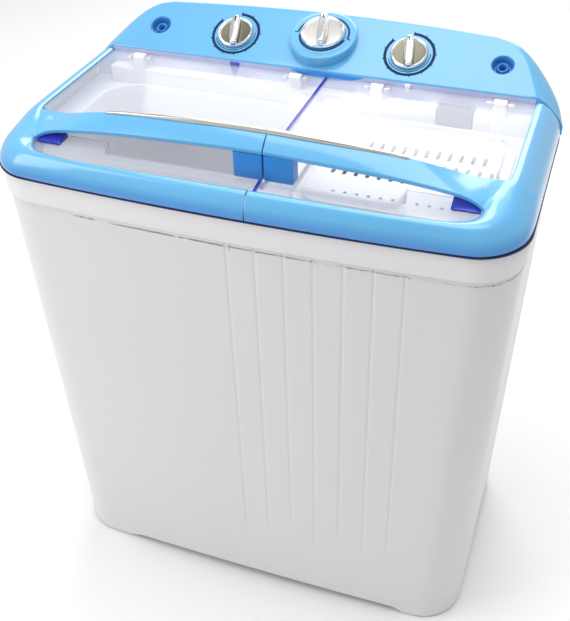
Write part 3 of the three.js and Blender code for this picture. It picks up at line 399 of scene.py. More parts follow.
# ---- materials
class Nodes:
    """Short way to add and link shader nodes."""

    def __init__(self, name):
        self.mat = bpy.data.materials.new(name)
        self.mat.use_nodes = True
        self.tree = self.mat.node_tree
        self.shader = self.tree.nodes["Principled BSDF"]
        self.coord = self.add("ShaderNodeTexCoord").outputs["Object"]

    def add(self, kind, **values):
        node = self.tree.nodes.new(kind)
        for key, value in values.items():
            if hasattr(node, key):
                setattr(node, key, value)
            else:
                node.inputs[key.replace("_", " ")].default_value = value
        return node

    def link(self, a, b):
        self.tree.links.new(a, b)

    def feed(self, socket, source):
        """Links into one of the shader's own sockets."""
        self.link(source, self.shader.inputs[socket])

    def noise(self, scale, detail=3.0, stretch=None, **more):
        vector = self.coord
        if stretch:
            mapping = self.add("ShaderNodeMapping")
            mapping.inputs["Scale"].default_value = stretch
            self.link(vector, mapping.inputs["Vector"])
            vector = mapping.outputs["Vector"]
        node = self.add("ShaderNodeTexNoise", **more)
        node.inputs["Scale"].default_value = scale
        node.inputs["Detail"].default_value = detail
        self.link(vector, node.inputs["Vector"])
        return node.outputs["Fac"]

    def spread(self, value, low, high, source=(0.3, 0.7)):
        node = self.add("ShaderNodeMapRange")
        for key, number in zip(("From Min", "From Max", "To Min", "To Max"), (*source, low, high)):
            node.inputs[key].default_value = number
        self.link(value, node.inputs["Value"])
        return node.outputs["Result"]

    def mix(self, factor, a, b):
        node = self.add("ShaderNodeMix", data_type="RGBA")
        self.link(factor, node.inputs["Factor"])
        for socket, colour in ((node.inputs["A"], a), (node.inputs["B"], b)):
            if isinstance(colour, tuple):
                socket.default_value = (*colour[:3], 1)
            else:
                self.link(colour, socket)
        return node.outputs["Result"]

    def bump(self, height, distance, strength=0.4, normal=None):
        node = self.add("ShaderNodeBump")
        node.inputs["Strength"].default_value = strength
        node.inputs["Distance"].default_value = distance
        self.link(height, node.inputs["Height"])
        if normal:
            self.link(normal, node.inputs["Normal"])
        return node.outputs["Normal"]

    def set(self, **values):
        for key, value in values.items():
            self.shader.inputs[key.replace("_", " ")].default_value = value


def moulded(name, colour, rough, vary=0.03, grain=1400.0, depth=0.00003, patch=7.0, foot=None, **constants):
    """Moulded plastic: faint flow marks in its colour, a fine grain in its gloss and surface, and with foot a painted
    shade that deepens its colour downwards.
    """
    n = Nodes(name)
    light = tuple(min(1.0, c * (1 + vary)) for c in colour)
    dark = tuple(c * (1 - vary) for c in colour)
    flow = n.noise(patch, 4.0, stretch=(1, 1, 0.45))
    body = n.mix(n.spread(flow, 0, 1), dark, light)
    if foot:  # painted shade: the colour deepens downwards, from foot[2] to foot[1] metres up
        apart = n.add("ShaderNodeSeparateXYZ")
        n.link(n.coord, apart.inputs["Vector"])
        body = n.mix(n.spread(apart.outputs["Z"], 0, 1, foot[1:]), foot[0], body)
    n.feed("Base Color", body)
    fine = n.noise(grain, 2.0)
    n.feed("Roughness", n.spread(flow, rough * 0.9, rough * 1.12))
    n.feed("Normal", n.bump(fine, depth))
    n.set(**constants)
    return n.mat


def cast_metal(name, colour, rough, stretch=(1, 1, 1), scale=500.0, depth=0.00006, vary=0.12):
    """Metal with a directional or cast grain."""
    n = Nodes(name)
    grain = n.noise(scale, 3.0, stretch=stretch)
    patches = n.noise(30.0, 3.0)
    dark = tuple(c * (1 - vary) for c in colour)
    n.feed("Base Color", n.mix(n.spread(grain, 0, 1), dark, colour))
    n.feed("Roughness", n.spread(patches, rough * 0.8, rough * 1.25))
    n.feed("Normal", n.bump(grain, depth, 0.5))
    n.set(Metallic=1.0)
    return n.mat


def clear_plastic(name, colour, thin, thick, rough=0.05):
    """Clear tinted moulding, more opaque where it is seen edge on."""
    n = Nodes(name)
    weight = n.add("ShaderNodeLayerWeight")
    weight.inputs["Blend"].default_value = 0.35
    facing = weight.outputs["Facing"]
    n.feed("Alpha", n.spread(facing, thin, thick, (0.15, 0.95)))
    flow = n.noise(5.0, 3.0)
    n.feed("Base Color", n.mix(n.spread(flow, 0, 1), tuple(c * 0.96 for c in colour), colour))
    n.feed("Roughness", n.spread(flow, rough, rough * 1.6))
    n.feed("Normal", n.bump(n.noise(18.0, 2.0), 0.0002, 0.12))
    n.set(IOR=1.49)
    return n.mat


BLUE = moulded("blue_plastic", (0.115, 0.42, 0.72), 0.3, vary=0.02, IOR=1.52, Coat_Weight=0.8, Coat_Roughness=0.1)
# painted shade: the lids' rim darkens to a deeper blue towards its lower edge, which faces away from the light
LID_BLUE = moulded(
    "blue_plastic_lids", (0.11, 0.44, 0.765), 0.3, vary=0.02, foot=((0.02, 0.2, 0.6), 0.597, 0.613), IOR=1.52,
    Coat_Weight=1.0, Coat_Roughness=0.1
)
# painted shade: a darker copy of the blue for the finger stops under the bar and the apron under the selector's boss
SHADED_BLUE = moulded("blue_plastic_shaded", (0.04, 0.27, 0.70), 0.35, IOR=1.5)
DEEP_BLUE = moulded("inlet_plastic", (0.045, 0.24, 0.62), 0.22, IOR=1.5, Coat_Weight=0.4, Coat_Roughness=0.1)
CASING = moulded(
    "white_casing", (0.69, 0.68, 0.685), 0.34, vary=0.012, grain=900.0, IOR=1.45, Coat_Weight=0.15,
    Coat_Roughness=0.2
)
WHITE = moulded("white_plastic", (0.88, 0.88, 0.90), 0.38, vary=0.015, IOR=1.45)
# painted shade: the deck's skirt under the lids' rim is a darker white than its upper face
DECK_WHITE = moulded(
    "white_plastic_deck", (0.88, 0.88, 0.90), 0.38, vary=0.015, foot=((0.76, 0.75, 0.76), 0.590, 0.5945),
    IOR=1.45
)
# painted shade: white plastic darkened to lavender for the wall in the shade under the panel's front edge
WALL_PAINTED_SHADE = moulded("shaded_white_plastic", (0.50, 0.53, 0.76), 0.45, vary=0.02, IOR=1.45)
GREY = moulded("grey_plastic", (0.075, 0.085, 0.15), 0.5, vary=0.06, grain=700.0, depth=0.00008)
BLACK = moulded("black_plastic", (0.02, 0.021, 0.025), 0.5, vary=0.12, grain=700.0, depth=0.00008)
RUBBER = moulded("rubber", (0.022, 0.022, 0.025), 0.8, vary=0.2, grain=500.0, depth=0.00015)
# painted shadow: near-black blue for the strip in the shadow gap under the lids' rim
PAINTED_SHADOW_GAP = moulded("rim_painted_shadow", (0.012, 0.03, 0.10), 0.6, vary=0.1, grain=500.0, depth=0.0001)
VIOLET = moulded("violet_plastic", (0.10, 0.085, 0.50), 0.3, vary=0.04, IOR=1.49)
NAVY = moulded("dial_print", (0.008, 0.035, 0.11), 0.6, vary=0.05, Specular_IOR_Level=0.12)
STEEL = cast_metal("steel", (0.62, 0.63, 0.65), 0.32, stretch=(1, 1, 12), scale=300.0)
ALUMINIUM = cast_metal("aluminium", (0.68, 0.69, 0.70), 0.42, scale=420.0, depth=0.0001)
CLEAR = clear_plastic("clear_plastic", (0.86, 0.885, 0.98), 0.09, 0.5)
# partly painted refraction: the deep blue is partly the tint of thick clear plastic and partly the blue frame seen
# through it
CLEAR_EDGE = clear_plastic("clear_plastic_thick_painted_refraction", (0.03, 0.045, 0.50), 0.82, 0.97, 0.08)
MATERIALS = {
    "blue_plastic": BLUE,
    "inlet_plastic": DEEP_BLUE,
    "clear_plastic": CLEAR,
    "white_casing": CASING,
    "white_plastic": WHITE,
    "grey_plastic": GREY,
    "black_plastic": BLACK,
    "rubber": RUBBER,
    "steel": STEEL,
    "aluminium": ALUMINIUM,
}


def knob_metal(name, dish, dish_top, warm, cool):
    """Metallised knob, turned in fine rings about its own axis: a dull dish inside a bright rim, with a bright grip."""
    n = Nodes(name)
    apart = n.add("ShaderNodeSeparateXYZ")
    n.link(n.coord, apart.inputs["Vector"])
    flat = n.add("ShaderNodeCombineXYZ")
    n.link(apart.outputs["X"], flat.inputs["X"])
    n.link(apart.outputs["Y"], flat.inputs["Y"])
    length = n.add("ShaderNodeVectorMath", operation="LENGTH")
    n.link(flat.outputs["Vector"], length.inputs[0])
    rim = n.spread(length.outputs["Value"], 0, 1, (dish - 0.0006, dish + 0.0002))
    grip = n.spread(apart.outputs["Z"], 0, 1, (dish_top, dish_top + 0.0006))
    bright = n.add("ShaderNodeMath", operation="MAXIMUM")
    n.link(rim, bright.inputs[0])
    n.link(grip, bright.inputs[1])
    rings = n.add("ShaderNodeTexWave", wave_type="RINGS", rings_direction="Z")
    rings.inputs["Scale"].default_value = 320.0
    rings.inputs["Distortion"].default_value = 0.4
    n.link(n.coord, rings.inputs["Vector"])
    smudge = n.noise(60.0, 3.0)
    dull = n.mix(n.spread(smudge, 0, 1), warm, cool)
    shiny = n.mix(n.spread(smudge, 0, 1), (0.80, 0.80, 0.80), (0.92, 0.93, 0.94))
    n.feed("Base Color", n.mix(bright.outputs["Value"], dull, shiny))
    n.feed("Roughness", n.spread(bright.outputs["Value"], 0.34, 0.16, (0, 1)))
    n.feed("Normal", n.bump(rings.outputs["Fac"], 0.00002, 0.3))
    n.set(Metallic=1.0)
    return n.mat


def strip_metal():
    """Bright strip of the lids: polished, with a faint brushed run along its length."""
    n = Nodes("bright_strip")
    brush = n.noise(500.0, 2.0, stretch=(0.03, 1, 1))
    n.feed("Base Color", n.mix(n.spread(brush, 0, 1), (0.55, 0.50, 0.42), (0.80, 0.78, 0.72)))
    n.feed("Roughness", n.spread(brush, 0.14, 0.26))
    n.feed("Normal", n.bump(brush, 0.00002, 0.3))
    n.set(Metallic=1.0)
    return n.mat


STRIP = strip_metal()
MATERIALS["bright_metal"] = STRIP


def give(obj, body, slot, look, *nodes):
    """Dresses a piece: its material, its body, and the CAD nodes that it stands for. Its slot argument is not used."""
    obj.data.materials.clear()
    obj.data.materials.append(look)
    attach(obj, body)
    if nodes:
        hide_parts(*nodes)
    return obj


# ---- lid frames
# Made for the right-hand lid, and mirrored for the left-hand one.
BAR_REAR_Z = [
    (0, 660.3), (50, 659.6), (110, 657), (160, 652.5), (185, 647.5), (205, 641.5), (222, 635.2), (240, 633.6),
    (262, 633.4)
]
BAR_REAR_Y = [(0, -97.5), (160, -97), (185, -94), (205, -88.5), (222, -83), (240, -81), (262, -81)]
BAR_FRONT_Z = [
    (0, 645.8), (50, 644.2), (105, 642), (142, 640.3), (163, 638.9), (185, 637), (206, 634.8), (222, 632.8),
    (232, 630.3), (241, 626.4)
]
BAR_FRONT_Y = [(0, -117), (215, -117), (230, -117.6), (241, -119.6)]
BAR_REAR_X = (254, 238, 226, 212, 196, 178, 155, 125, 90, 55)
BAR_FRONT_X = (241, 234, 224, 211, 196, 178, 155, 125, 90, 55)
BAR_SHARES = (0, 0.1, 0.38, 0.65, 0.88, 1)
BAR_END_SHARES = (0, 0.2, 0.45, 0.66, 0.84, 1)

RAIL_T = (32, 30.6, 27, 22.5, 17, 11.5, 6.5, 2.6, 0.5, 3)
RIM_T = (22, 20.6, 17, 11.5, 7.6, 4.4, 2.2, 0.7, 0.3, 2.6)
RIM_Z = (617.6, 620.4, 623.6, 624.6, 621.6, 615.2, 608.4, 602, 597.4, 596.4)
OFFSET_FALL = (1, 0.9, 0.6, 0.25, 0.05, 0, 0, 0, 0, 0)
CORNER_ROWS = (  # inner point, outer point or corner angle, share of the rim's section
    ((262.2, -77.5, 633.2), -76, 0.0),
    ((259.5, -86, 632.4), -88, 0.12),
    ((255, -94, 631), -101, 0.28),
    ((251, -105, 628.5), 14, 0.45),
    ((248, -114, 625.5), 28, 0.6),
    ((246, -121.5, 622.5), 41, 0.74),
)
RIM_ROWS = (
    ((243.5, -130, 619.8), 53, 0.86),
    ((237, -137.5, 618.4), 64, 0.94),
    ((228, -142.5, 617.8), 74, 0.98),
    ((217, -146.5, 617.6), 83, 1.0),
)
FRONT_ROWS = ((222, 203, -149.5), (190, 180, -152.5), (155, 150, -153.3), (107, 105, -152.8), (60, 60, -151.8))


def lid_half(side):
    """Sign of x on that side, and the lid's distance past the middle."""
    mirror = -1 if side == "wash" else 1
    return mirror, SEAM * mirror + SEAM_GAP / 2


def outer_point(key):
    """A point of the top's outline: on the straight side at y = key, or round the front corner by key degrees."""
    if key < 0:
        return bowed(TOP, HALF, key)
    r, a = TOP["front_r"], radians(key)
    return bowed(TOP, HALF - r + r * cos(a), TOP["front"] + r - r * sin(a))


def frame_row(inner, outer, share):
    """One section of the frame, from its inner edge to the foot of its outer wall."""
    edge = window_z(inner[1]) + 1.2
    rail_z = (edge, edge + 0.9, edge + 1, edge - 0.4, edge - 4, edge - 9.6, edge - 15.6, edge - 22.5, 597.4, 596.4)
    lift = inner[2] - lerp(rail_z[0], RIM_Z[0], share)
    row = []
    for c in range(10):
        t = lerp(RAIL_T[c] / RAIL_T[0], RIM_T[c] / RIM_T[0], share)
        z = lerp(rail_z[c], RIM_Z[c], share) + lift * OFFSET_FALL[c]
        row.append((lerp(outer[0], inner[0], t), lerp(outer[1], inner[1], t), z))
    return row


def lid_frame(side):
    mirror, seam = lid_half(side)
    short = [18] if side == "wash" else []
    strip = []
    for y in (LID_REAR + 0.8, LID_REAR - 2, 70, 30, -10, -42, -66):
        strip.append(frame_row((263, y, window_z(y) + 1.2), (HALF, y), 0))
    first_corner = len(strip)
    strip += [frame_row(inner, outer_point(key), share) for inner, key, share in CORNER_ROWS]
    last_corner = len(strip) - 1
    strip += [frame_row(inner, outer_point(key), share) for inner, key, share in RIM_ROWS]
    for x, inner_x, inner_y in FRONT_ROWS:
        strip.append(frame_row((inner_x, inner_y, 617.6), bowed(TOP, x, TOP["front"]), 1))
    for x in short + [seam + 2, seam]:
        strip.append(frame_row((x, -151.5, 617.6), bowed(TOP, x, TOP["front"]), 1))
    points, faces = rows_faces(strip)
    index = lambda row, column: row * 10 + column

    # The bar, from the inner points of the corner rows to the seam.
    bar = [[index(first_corner + j, 0) for j in range(6)]]
    rear_x = list(BAR_REAR_X) + short + [seam + 2, seam]
    front_x = list(BAR_FRONT_X) + short + [seam + 2, seam]
    for k, (xr, xf) in enumerate(zip(rear_x, front_x)):
        rear = (xr, along(BAR_REAR_Y, abs(xr)), along(BAR_REAR_Z, abs(xr)))
        front = (xf, along(BAR_FRONT_Y, abs(xf)), along(BAR_FRONT_Z, abs(xf)))
        end = max(0.0, 1 - k / 3)
        column = []
        for j in range(6):
            share = lerp(BAR_SHARES[j], BAR_END_SHARES[j], end)
            bulge = 1.3 * (1 - end) * 4 * share * (1 - share)
            points.append((
                lerp(rear[0], front[0], share), lerp(rear[1], front[1], share),
                lerp(rear[2], front[2], share) + bulge
            ))
            column.append(len(points) - 1)
        bar.append(column)
    for a, b in zip(bar, bar[1:]):
        faces += [(a[j], a[j + 1], b[j + 1], b[j]) for j in range(5)]

    # Edges turned down round the window, and round the opening under the bar.
    creased = []

    def turned_down(path, *drops):
        above = path
        creased.extend(zip(path, path[1:]))
        for drop in drops:
            below = []
            for i in path:
                points.append(drop(*points[i]))
                below.append(len(points) - 1)
            faces.extend((above[i], above[i + 1], below[i + 1], below[i]) for i in range(len(path) - 1))
            above = below

    window_path = [index(r, 0) for r in range(first_corner + 1)] + [column[0] for column in bar[1:]]
    turned_down(
        window_path,
        lambda x, y, z: (x, y + 0.2, lerp(z, window_z(y) + 0.15, 0.45)),
        lambda x, y, z: (x, y + 0.2, window_z(y) + 0.15),
    )
    bar_path = [column[5] for column in bar[::-1]]
    turned_down(bar_path, lambda x, y, z: (x, y - 0.4, z - 1.8), lambda x, y, z: (x, y + 0.9, z - 4.8))
    rim_path = [index(r, 0) for r in range(last_corner, len(strip))]
    turned_down(rim_path, lambda x, y, z: (x, y, z - 1.6), lambda x, y, z: (x, y - 0.3, z - 3.4))

    obj = build(f"{side}_lid_top", [(mirror * x, y, z) for x, y, z in points], faces, up=(0, 0, 1), weld=0.0001)
    crease = obj.data.attributes.new("crease_edge", "FLOAT", "EDGE")
    wanted = {frozenset(pair) for pair in creased}
    for i, edge in enumerate(obj.data.edges):
        if frozenset(edge.vertices) in wanted:
            crease.data[i].value = 0.45
    smooth_surface(obj, 3)
    thicken(obj, LID_WALL, 50)
    return give(obj, f"{side}_lid", "blue_plastic", LID_BLUE, f"{side}_lid_frame")


def lid_web(side):
    """Finger stop under the bar, next to the seam. Its darker blue is painted shade from the bar above it."""
    mirror, seam = lid_half(side)
    rings = []
    for inset, z in ((1.6, 611), (0.5, 611.3), (0, 612.4), (0, 630), (0.1, 640)):
        ring = inset_rect(seam, seam + 32, -117.3, -101, inset, 1.6, 4, 3)
        rings.append([(mirror * x, y, z) for x, y in ring])
    obj = loft(f"{side}_lid_finger_stop", rings, sharp=50)
    return give(obj, f"{side}_lid", "blue_plastic", SHADED_BLUE)


# ---- clear mouldings
POCKET_END, POCKET_R, POCKET_FRONT, POCKET_FLOOR = 165.0, 14.0, -123.0, 606.0
PLATE_Y = (None, 60, 20, -20, -50, -66)


def ledge_z(y):
    return 617 + (y + 123) * 0.1176


def clear_section(x, flat=False):
    """Points of the clear moulding from its rear edge to its front edge, at one distance from the middle."""
    t = min(1.0, max(0.0, (abs(x) - (POCKET_END - POCKET_R)) / POCKET_R))
    front = lerp(POCKET_FRONT, -106.0, 1 - sqrt(max(0.0, 1 - t * t)))
    floor = lambda y, z: (y, ledge_z(y) if flat else z)
    bend = window_z(-98)
    section = [(LID_REAR if y is None else y, window_z(LID_REAR if y is None else y)) for y in PLATE_Y]
    section += [
        (-80, window_z(-80)), (-92, window_z(-92)), (-98, bend), (-99.4, bend - 0.5), (-100.3, bend - 1.9),
        (-101.6, 622)
    ]
    section += [floor(-103.2, POCKET_FLOOR + 1.4), floor(-104.6, POCKET_FLOOR)]
    section += [floor(front + 2.6, POCKET_FLOOR), floor(front + 0.8, POCKET_FLOOR + 1), floor(front, POCKET_FLOOR + 3)]
    section += [floor(front - 0.6, ledge_z(front) - 1.6), (front - 1.4, ledge_z(front - 1.4))]
    section += [(y, ledge_z(y)) for y in (-132, -144, -156)]
    return section


def lid_clear(side):
    mirror, seam = lid_half(side)
    xs = [seam, 45, 75, 105, 130, 148, 151]
    xs += [POCKET_END - POCKET_R + POCKET_R * sin(radians(a)) for a in (15, 30, 45, 60, 75, 90)]
    stations = [(x, False) for x in xs] + [(POCKET_END + 0.3, True), (190, True), (220, True), (244, True)]
    rows = [[(x, y, z) for y, z in clear_section(x, flat)] for x, flat in stations]
    points, faces = rows_faces(rows)
    plate = [
        [(x, y, z) for _, y, z in rows[-1][:6]] + [(x, y, window_z(y))] for x,
        y in ((244, -80), (250, -79), (256, -77), (262, -73), (270, -66.5))
    ]
    more, more_faces = rows_faces(plate, first=len(points))
    points, faces = points + more, faces + more_faces
    obj = build(f"{side}_lid_clear", [(mirror * x, y, z) for x, y, z in points], faces, up=(0, 0, 1))
    thicken(obj, CLEAR_WALL)
    tools = []
    for x in HINGE_X[side]:
        tools.append(slot(x - POST_HALF - 1.1, x + POST_HALF + 1.1, HINGE.y - 8, LID_REAR + 3, 1.5, 615, 645, 3))
    boolean(obj, merge("tools", tools))
    lugs = []
    for x in HINGE_X[side]:
        for s in (-1, 1):
            cx = x + s * (POST_HALF + 4.6)
            profile = arc(HINGE.y, HINGE.z, 6.2, range(150, 391, 20))
            profile += [
                (HINGE.y + 6.4, window_z(96) - 0.1), (HINGE.y - 9, window_z(80) - 0.1),
                (HINGE.y - 9, window_z(80) - 2.6)
            ]
            lug = loft("lug", [[(cx + d, y, z) for y, z in profile] for d in (-3.4, 3.4)])
            lugs.append(round_edges(lug, 0.7, 2))
    obj = join(f"{side}_lid_clear", [obj] + lugs)
    return give(obj, f"{side}_lid", "clear_plastic", CLEAR, f"{side}_lid_window")


def lid_clear_end(side):
    """Deep blue end of the clear moulding, in the outer corner of the opening under the bar: partly the tint of thick
    plastic, partly a painted refraction of the blue frame.
    """
    mirror = -1 if side == "wash" else 1
    rings = []
    for inset, x in ((1.2, 214), (0.3, 215), (0, 217), (0, 237), (1.2, 243)):
        ring = [
            (-104 - inset, 617.9), (-104 - inset, 626 - inset), (-112, 623.6 - inset),
            (-124 + inset, 619.8 - inset), (-124 + inset, 617.9)
        ]
        rings.append([(mirror * x, y, z) for y, z in ring])
    obj = loft(f"{side}_lid_clear_end", rings, sharp=40)
    return give(obj, f"{side}_lid", "clear_plastic", CLEAR_EDGE)


def lid_seam(side):
    """Deep blue edge of the clear moulding along the seam between the lids: partly the tint of thick plastic, partly a
    painted refraction of the blue frame.
    """
    mirror, seam = lid_half(side)
    rows = [[(mirror * x, y, z + 0.25) for y, z in clear_section(seam)] for x in (seam - 0.2, seam + 0.3, seam + 0.9)]
    obj = sheet_from(f"{side}_lid_seam", rows, up=(0, 0, 1))
    thicken(obj, 2.9)
    return give(obj, f"{side}_lid", "clear_plastic", CLEAR_EDGE)


def lid_strip(side):
    """Bright strip along the rear edge of the bar, narrower towards its outer end."""
    mirror, seam = lid_half(side)
    rings = []
    for i in range(41):
        x = lerp(seam, 166, i / 40)
        share = step(seam, 166, x) ** 1.5
        wide, high = lerp(5.2, 2.4, share), lerp(2.7, 1.8, share)
        y, z = along(BAR_REAR_Y, abs(x)), along(BAR_REAR_Z, abs(x)) - 0.2
        if i == 40:
            wide, high = wide * 0.6, high * 0.6
        section = [
            (0.25, -0.6), (0.25, 0.6), (-0.05, 0.86), (-0.2, 0.97), (-0.45, 1), (-0.75, 0.86), (-0.92, 0.6),
            (-1, 0.2), (-1, -0.6)
        ]
        rings.append([(mirror * x, y + (0.3 if dy > 0 else dy * wide), z + dz * high) for dy, dz in section])
    obj = loft(f"{side}_lid_strip", rings, sharp=45)
    return give(obj, f"{side}_lid", "bright_metal", STRIP, f"{side}_lid_trim")


for lid_side in ("wash", "spin"):
    lid_frame(lid_side)
    lid_web(lid_side)
    lid_clear(lid_side)
    lid_clear_end(lid_side)
    lid_seam(lid_side)
    lid_strip(lid_side)


# ---- control panel
def panel_surface(x, y):
    return PANEL_Z0 + (y - PANEL_Y0) * tan(TILT) + crown(x, y)


def edge_fall(degrees, end):
    """How far in and how far down the panel's rounded edge is. end is 1 on the sloping ends."""
    a, power = radians(degrees), lerp(1, 1.6, end)
    across = lerp(BACK_EDGE, END_EDGE[0], end) * (1 - max(0.0, cos(a)) ** power)
    return across, lerp(BACK_EDGE, END_EDGE[1], end) * (1 - sin(a) ** power)


def end_fall(x):
    """Depth of the sloping end below the panel's surface, at one x."""
    left = 1 - min(1.0, (HALF - abs(x)) / END_EDGE[0])
    return END_EDGE[1] * (1 - max(0.0, 1 - max(0.0, left) ** 1.25) ** 0.8)


def panel_ring(degrees, z_of):
    """The back part of the top's outline at a step of the edge's profile, closed by a straight front edge."""
    ring = []
    for (x0, y0), (x1, y1) in zip(outline(TOP, 0, 16, 28, 14), outline(TOP, END_EDGE[0], 16, 28, 14)):
        if y0 > PANEL_FRONT + 3:
            across, down = edge_fall(degrees, step(200, 290, abs(x0)))
            x, y = lerp(x0, x1, across / END_EDGE[0]), lerp(y0, y1, across / END_EDGE[0])
            ring.append((x, y, z_of(x, y, down)))
    across, down = edge_fall(degrees, 1)
    w, front = HALF - across, PANEL_FRONT + FRONT_EDGE * (1 - cos(radians(degrees)))
    ends = [(x, front, z_of(x, front, down)) for x in (w, -w)]
    n = len(ring) + 1
    lip = FRONT_EDGE * (1 - sin(radians(degrees)))
    chord = [(x, front, z_of(x, front, max(lip, end_fall(x)))) for x in (lerp(-w, w, i / n) for i in range(1, n))]
    return [ends[0]] + ring + [ends[1]] + chord


def control_panel():
    """Sloping blue panel with the selector's boss and the two inlet holes."""
    rings = [panel_ring(0, lambda x, y, down: z) for z in (TOP_Z, TOP_Z + 1.5, 603)]
    for degrees in range(0, 91, 9):
        rings.append(panel_ring(degrees, lambda x, y, down: panel_surface(x, y) - down))
    points, faces = rows_faces(rings, wrap=True)
    faces.append(tuple(range(len(rings[0])))[::-1])
    # The upper face, in rows from the front edge to the back edge.
    half = len(rings[0]) // 2 + 1
    back, front = rings[-1][:half], [rings[-1][0]] + rings[-1][half:][::-1] + [rings[-1][half - 1]]
    top = [front]
    for k in range(1, 10):
        row = [(lerp(a[0], b[0], k / 10), lerp(a[1], b[1], k / 10)) for a, b in zip(front, back)]
        top.append([(x, y, panel_surface(x, y)) for x, y in row])
    top.append(back)
    more, more_faces = rows_faces(top, first=len(points))
    shell = build("control_panel_shell", points + more, faces + more_faces, sharp=30)
    wedge = []
    for inset, depth in ((0, None), (0, 3.0), (0.2, 1.9), (0.7, 1.0), (1.5, 0.35), (2.6, 0.05), (4, 0)):
        ring = []
        for i in range(96):
            a = 2 * pi * i / 96
            x, s = (BOSS_R - inset) * cos(a), (BOSS_R - inset) * sin(a)
            h = -3 if depth is None else max(-2.5, BOSS_HIGH - s * tan(TILT - BOSS_TILT) - depth)
            ring.append(on_plane(SELECTOR.x + x, BOSS_S + s, h))
        wedge.append(ring)
    boss = loft("boss", wedge)
    room = loft("room", [at_z(outline(TOP, 0.8, 16, 28), 560), at_z(outline(TOP, 0.8, 16, 28), 760)])
    boolean(boss, room, "INTERSECT")
    boolean(shell, boss, "UNION", sharp=30)
    tools = [lathe(
        "tool", [(0, -30), (13.2, -30), (13.2, 12), (0, 12)], 48, dial_place(INLETS[side], INLET_S[side])
    ) for side in INLETS]
    boolean(shell, merge("tools", tools), sharp=30)
    give(shell, "machine", "blue_plastic", BLUE, "control_panel")


def panel_wall():
    """Wall under the front edge of the panel, seen through the lids, with a clip by each timer. The wall's lavender
    colour is painted shade on white plastic.
    """
    top = PANEL_Z0 - 0.7
    rings = []
    for inset, y in ((1.5, PANEL_FRONT + 0.2), (0.4, PANEL_FRONT - 0.5), (0, PANEL_FRONT - 1.0)):
        ring = rounded_rect(-262 + inset, 262 - inset, DECK_Z - 4, top - inset * 0.4, 1.2, 3, 8)
        rings.append([(x, y, z) for x, z in ring])
    wall = loft("panel_front_wall", rings, caps=(True, True))
    give(wall, "machine", "white_plastic", WALL_PAINTED_SHADE)
    for side, x, slot, look in (
        ("left", -TIMER_X + 11, "clear_plastic", VIOLET), ("right", TIMER_X + 8, "white_plastic", WHITE)
    ):
        share = 1.0 if side == "left" else 0.62
        outline_xz = [
            (-6, top - 1), (-5.6, top - 6), (-2.6, top - 15), (-1.2, top - 17), (0.6, top - 16.6),
            (2, top - 14.5), (5.4, top - 5), (6, top - 1)
        ]
        rings = [[
            (x + px * share, PANEL_FRONT - 0.9 - dy, top + (pz - top) * share) for px, pz in outline_xz
        ] for dy in (0, 2.0)]
        clip = round_edges(loft(f"panel_clip_{side}", rings), 0.6, 2)
        give(clip, "machine", slot, look)


def panel_brow():
    """Blue apron of the panel's front edge below the selector. Its darker blue is painted shade under the boss."""
    rings = []
    for i in range(33):
        x = lerp(-26, 64, i / 32)
        deep = 8.5 * sin(pi * min(1, max(0, (x + 26) / 90))) ** 0.7 + 0.3
        y, z = PANEL_FRONT - 1.1, PANEL_Z0 - 0.5
        rings.append([
            (x, y + 2.2, z), (x, y + 0.2, z + 0.4), (x, y - 0.7, z - 0.2), (x, y - 1.0, z - deep * 0.5),
            (x, y - 0.5, z - deep), (x, y + 2.2, z - deep)
        ])
    give(loft("panel_brow", rings, sharp=50), "machine", "blue_plastic", SHADED_BLUE)


def panel_ledge():
    """White step at the foot of the panel's front wall, with a gap for the lid switch."""
    for side, x0, x1 in (("left", -262, 154.5), ("right", 197.5, 262)):
        rings = []
        for inset, z in ((0.8, DECK_Z - 0.2), (0, DECK_Z + 0.6), (0, 614.6), (0.5, 615.6), (1.4, 616)):
            rings.append(at_z(rounded_rect(x0 + inset, x1 - inset, 82.5 + inset, PANEL_FRONT - 0.8, 1.2, 3, 6), z))
        give(loft(f"panel_ledge_{side}", rings, sharp=50), "machine", "white_plastic", WHITE)


def rim_shadow_strip():
    """Painted shadow: a dark strip in the gap between the deck and the foot of the lids' outer edge, where shade falls.
    """
    body = loft("rim_shadow_strip", [
        at_z(outline(TOP, inset, 14, 24), z) for inset,
        z in ((0.9, DECK_Z + 0.1), (0.5, DECK_Z + 0.4), (0.5, TOP_Z - 0.7), (0.9, TOP_Z - 0.4))
    ])
    boolean(body, loft("tool", [at_z(outline(TOP, 7, 14, 24), z) for z in (DECK_Z - 2, TOP_Z + 2)]))
    give(body, "machine", "rubber", PAINTED_SHADOW_GAP)


def water_inlet(side):
    profile = [
        (4.4, -34), (4.4, -5), (4.8, -4.3), (5.5, -4.0), (6.3, -4.3), (6.8, -5.2), (7.0, -9.0), (7.8, -10),
        (10.3, -10), (11.1, -9.2), (11.4, -8)
    ]
    profile += [
        (11.7, -0.9), (12.1, -0.3), (12.6, -0.1), (12.95, -0.6), (13.0, -15.5), (8.0, -15.5), (8.0, -34),
        (4.4, -34)
    ]
    cup = lathe(f"water_inlet_cup_{side}", profile, 56, dial_place(INLETS[side], INLET_S[side]))
    give(cup, "machine", "inlet_plastic", DEEP_BLUE, f"water_inlet_{side}")


def ring_strip(place, r0, r1, start, end, steps=72, high=0.28):
    """A thin raised arc. Angles run clockwise from the top, in degrees."""
    rings = []
    for i in range(steps + 1):
        a = radians(90 - lerp(start, end, i / steps))
        taper = 1 - 0.5 * (i in (0, steps))
        section = ((r0, -0.1), (r0, high * 0.6), (r0 + 0.2, high), (r1 - 0.2, high), (r1, high * 0.6), (r1, -0.1))
        rings.append([place(r * cos(a), r * sin(a), h * taper) for r, h in section])
    return loft("ring", rings)


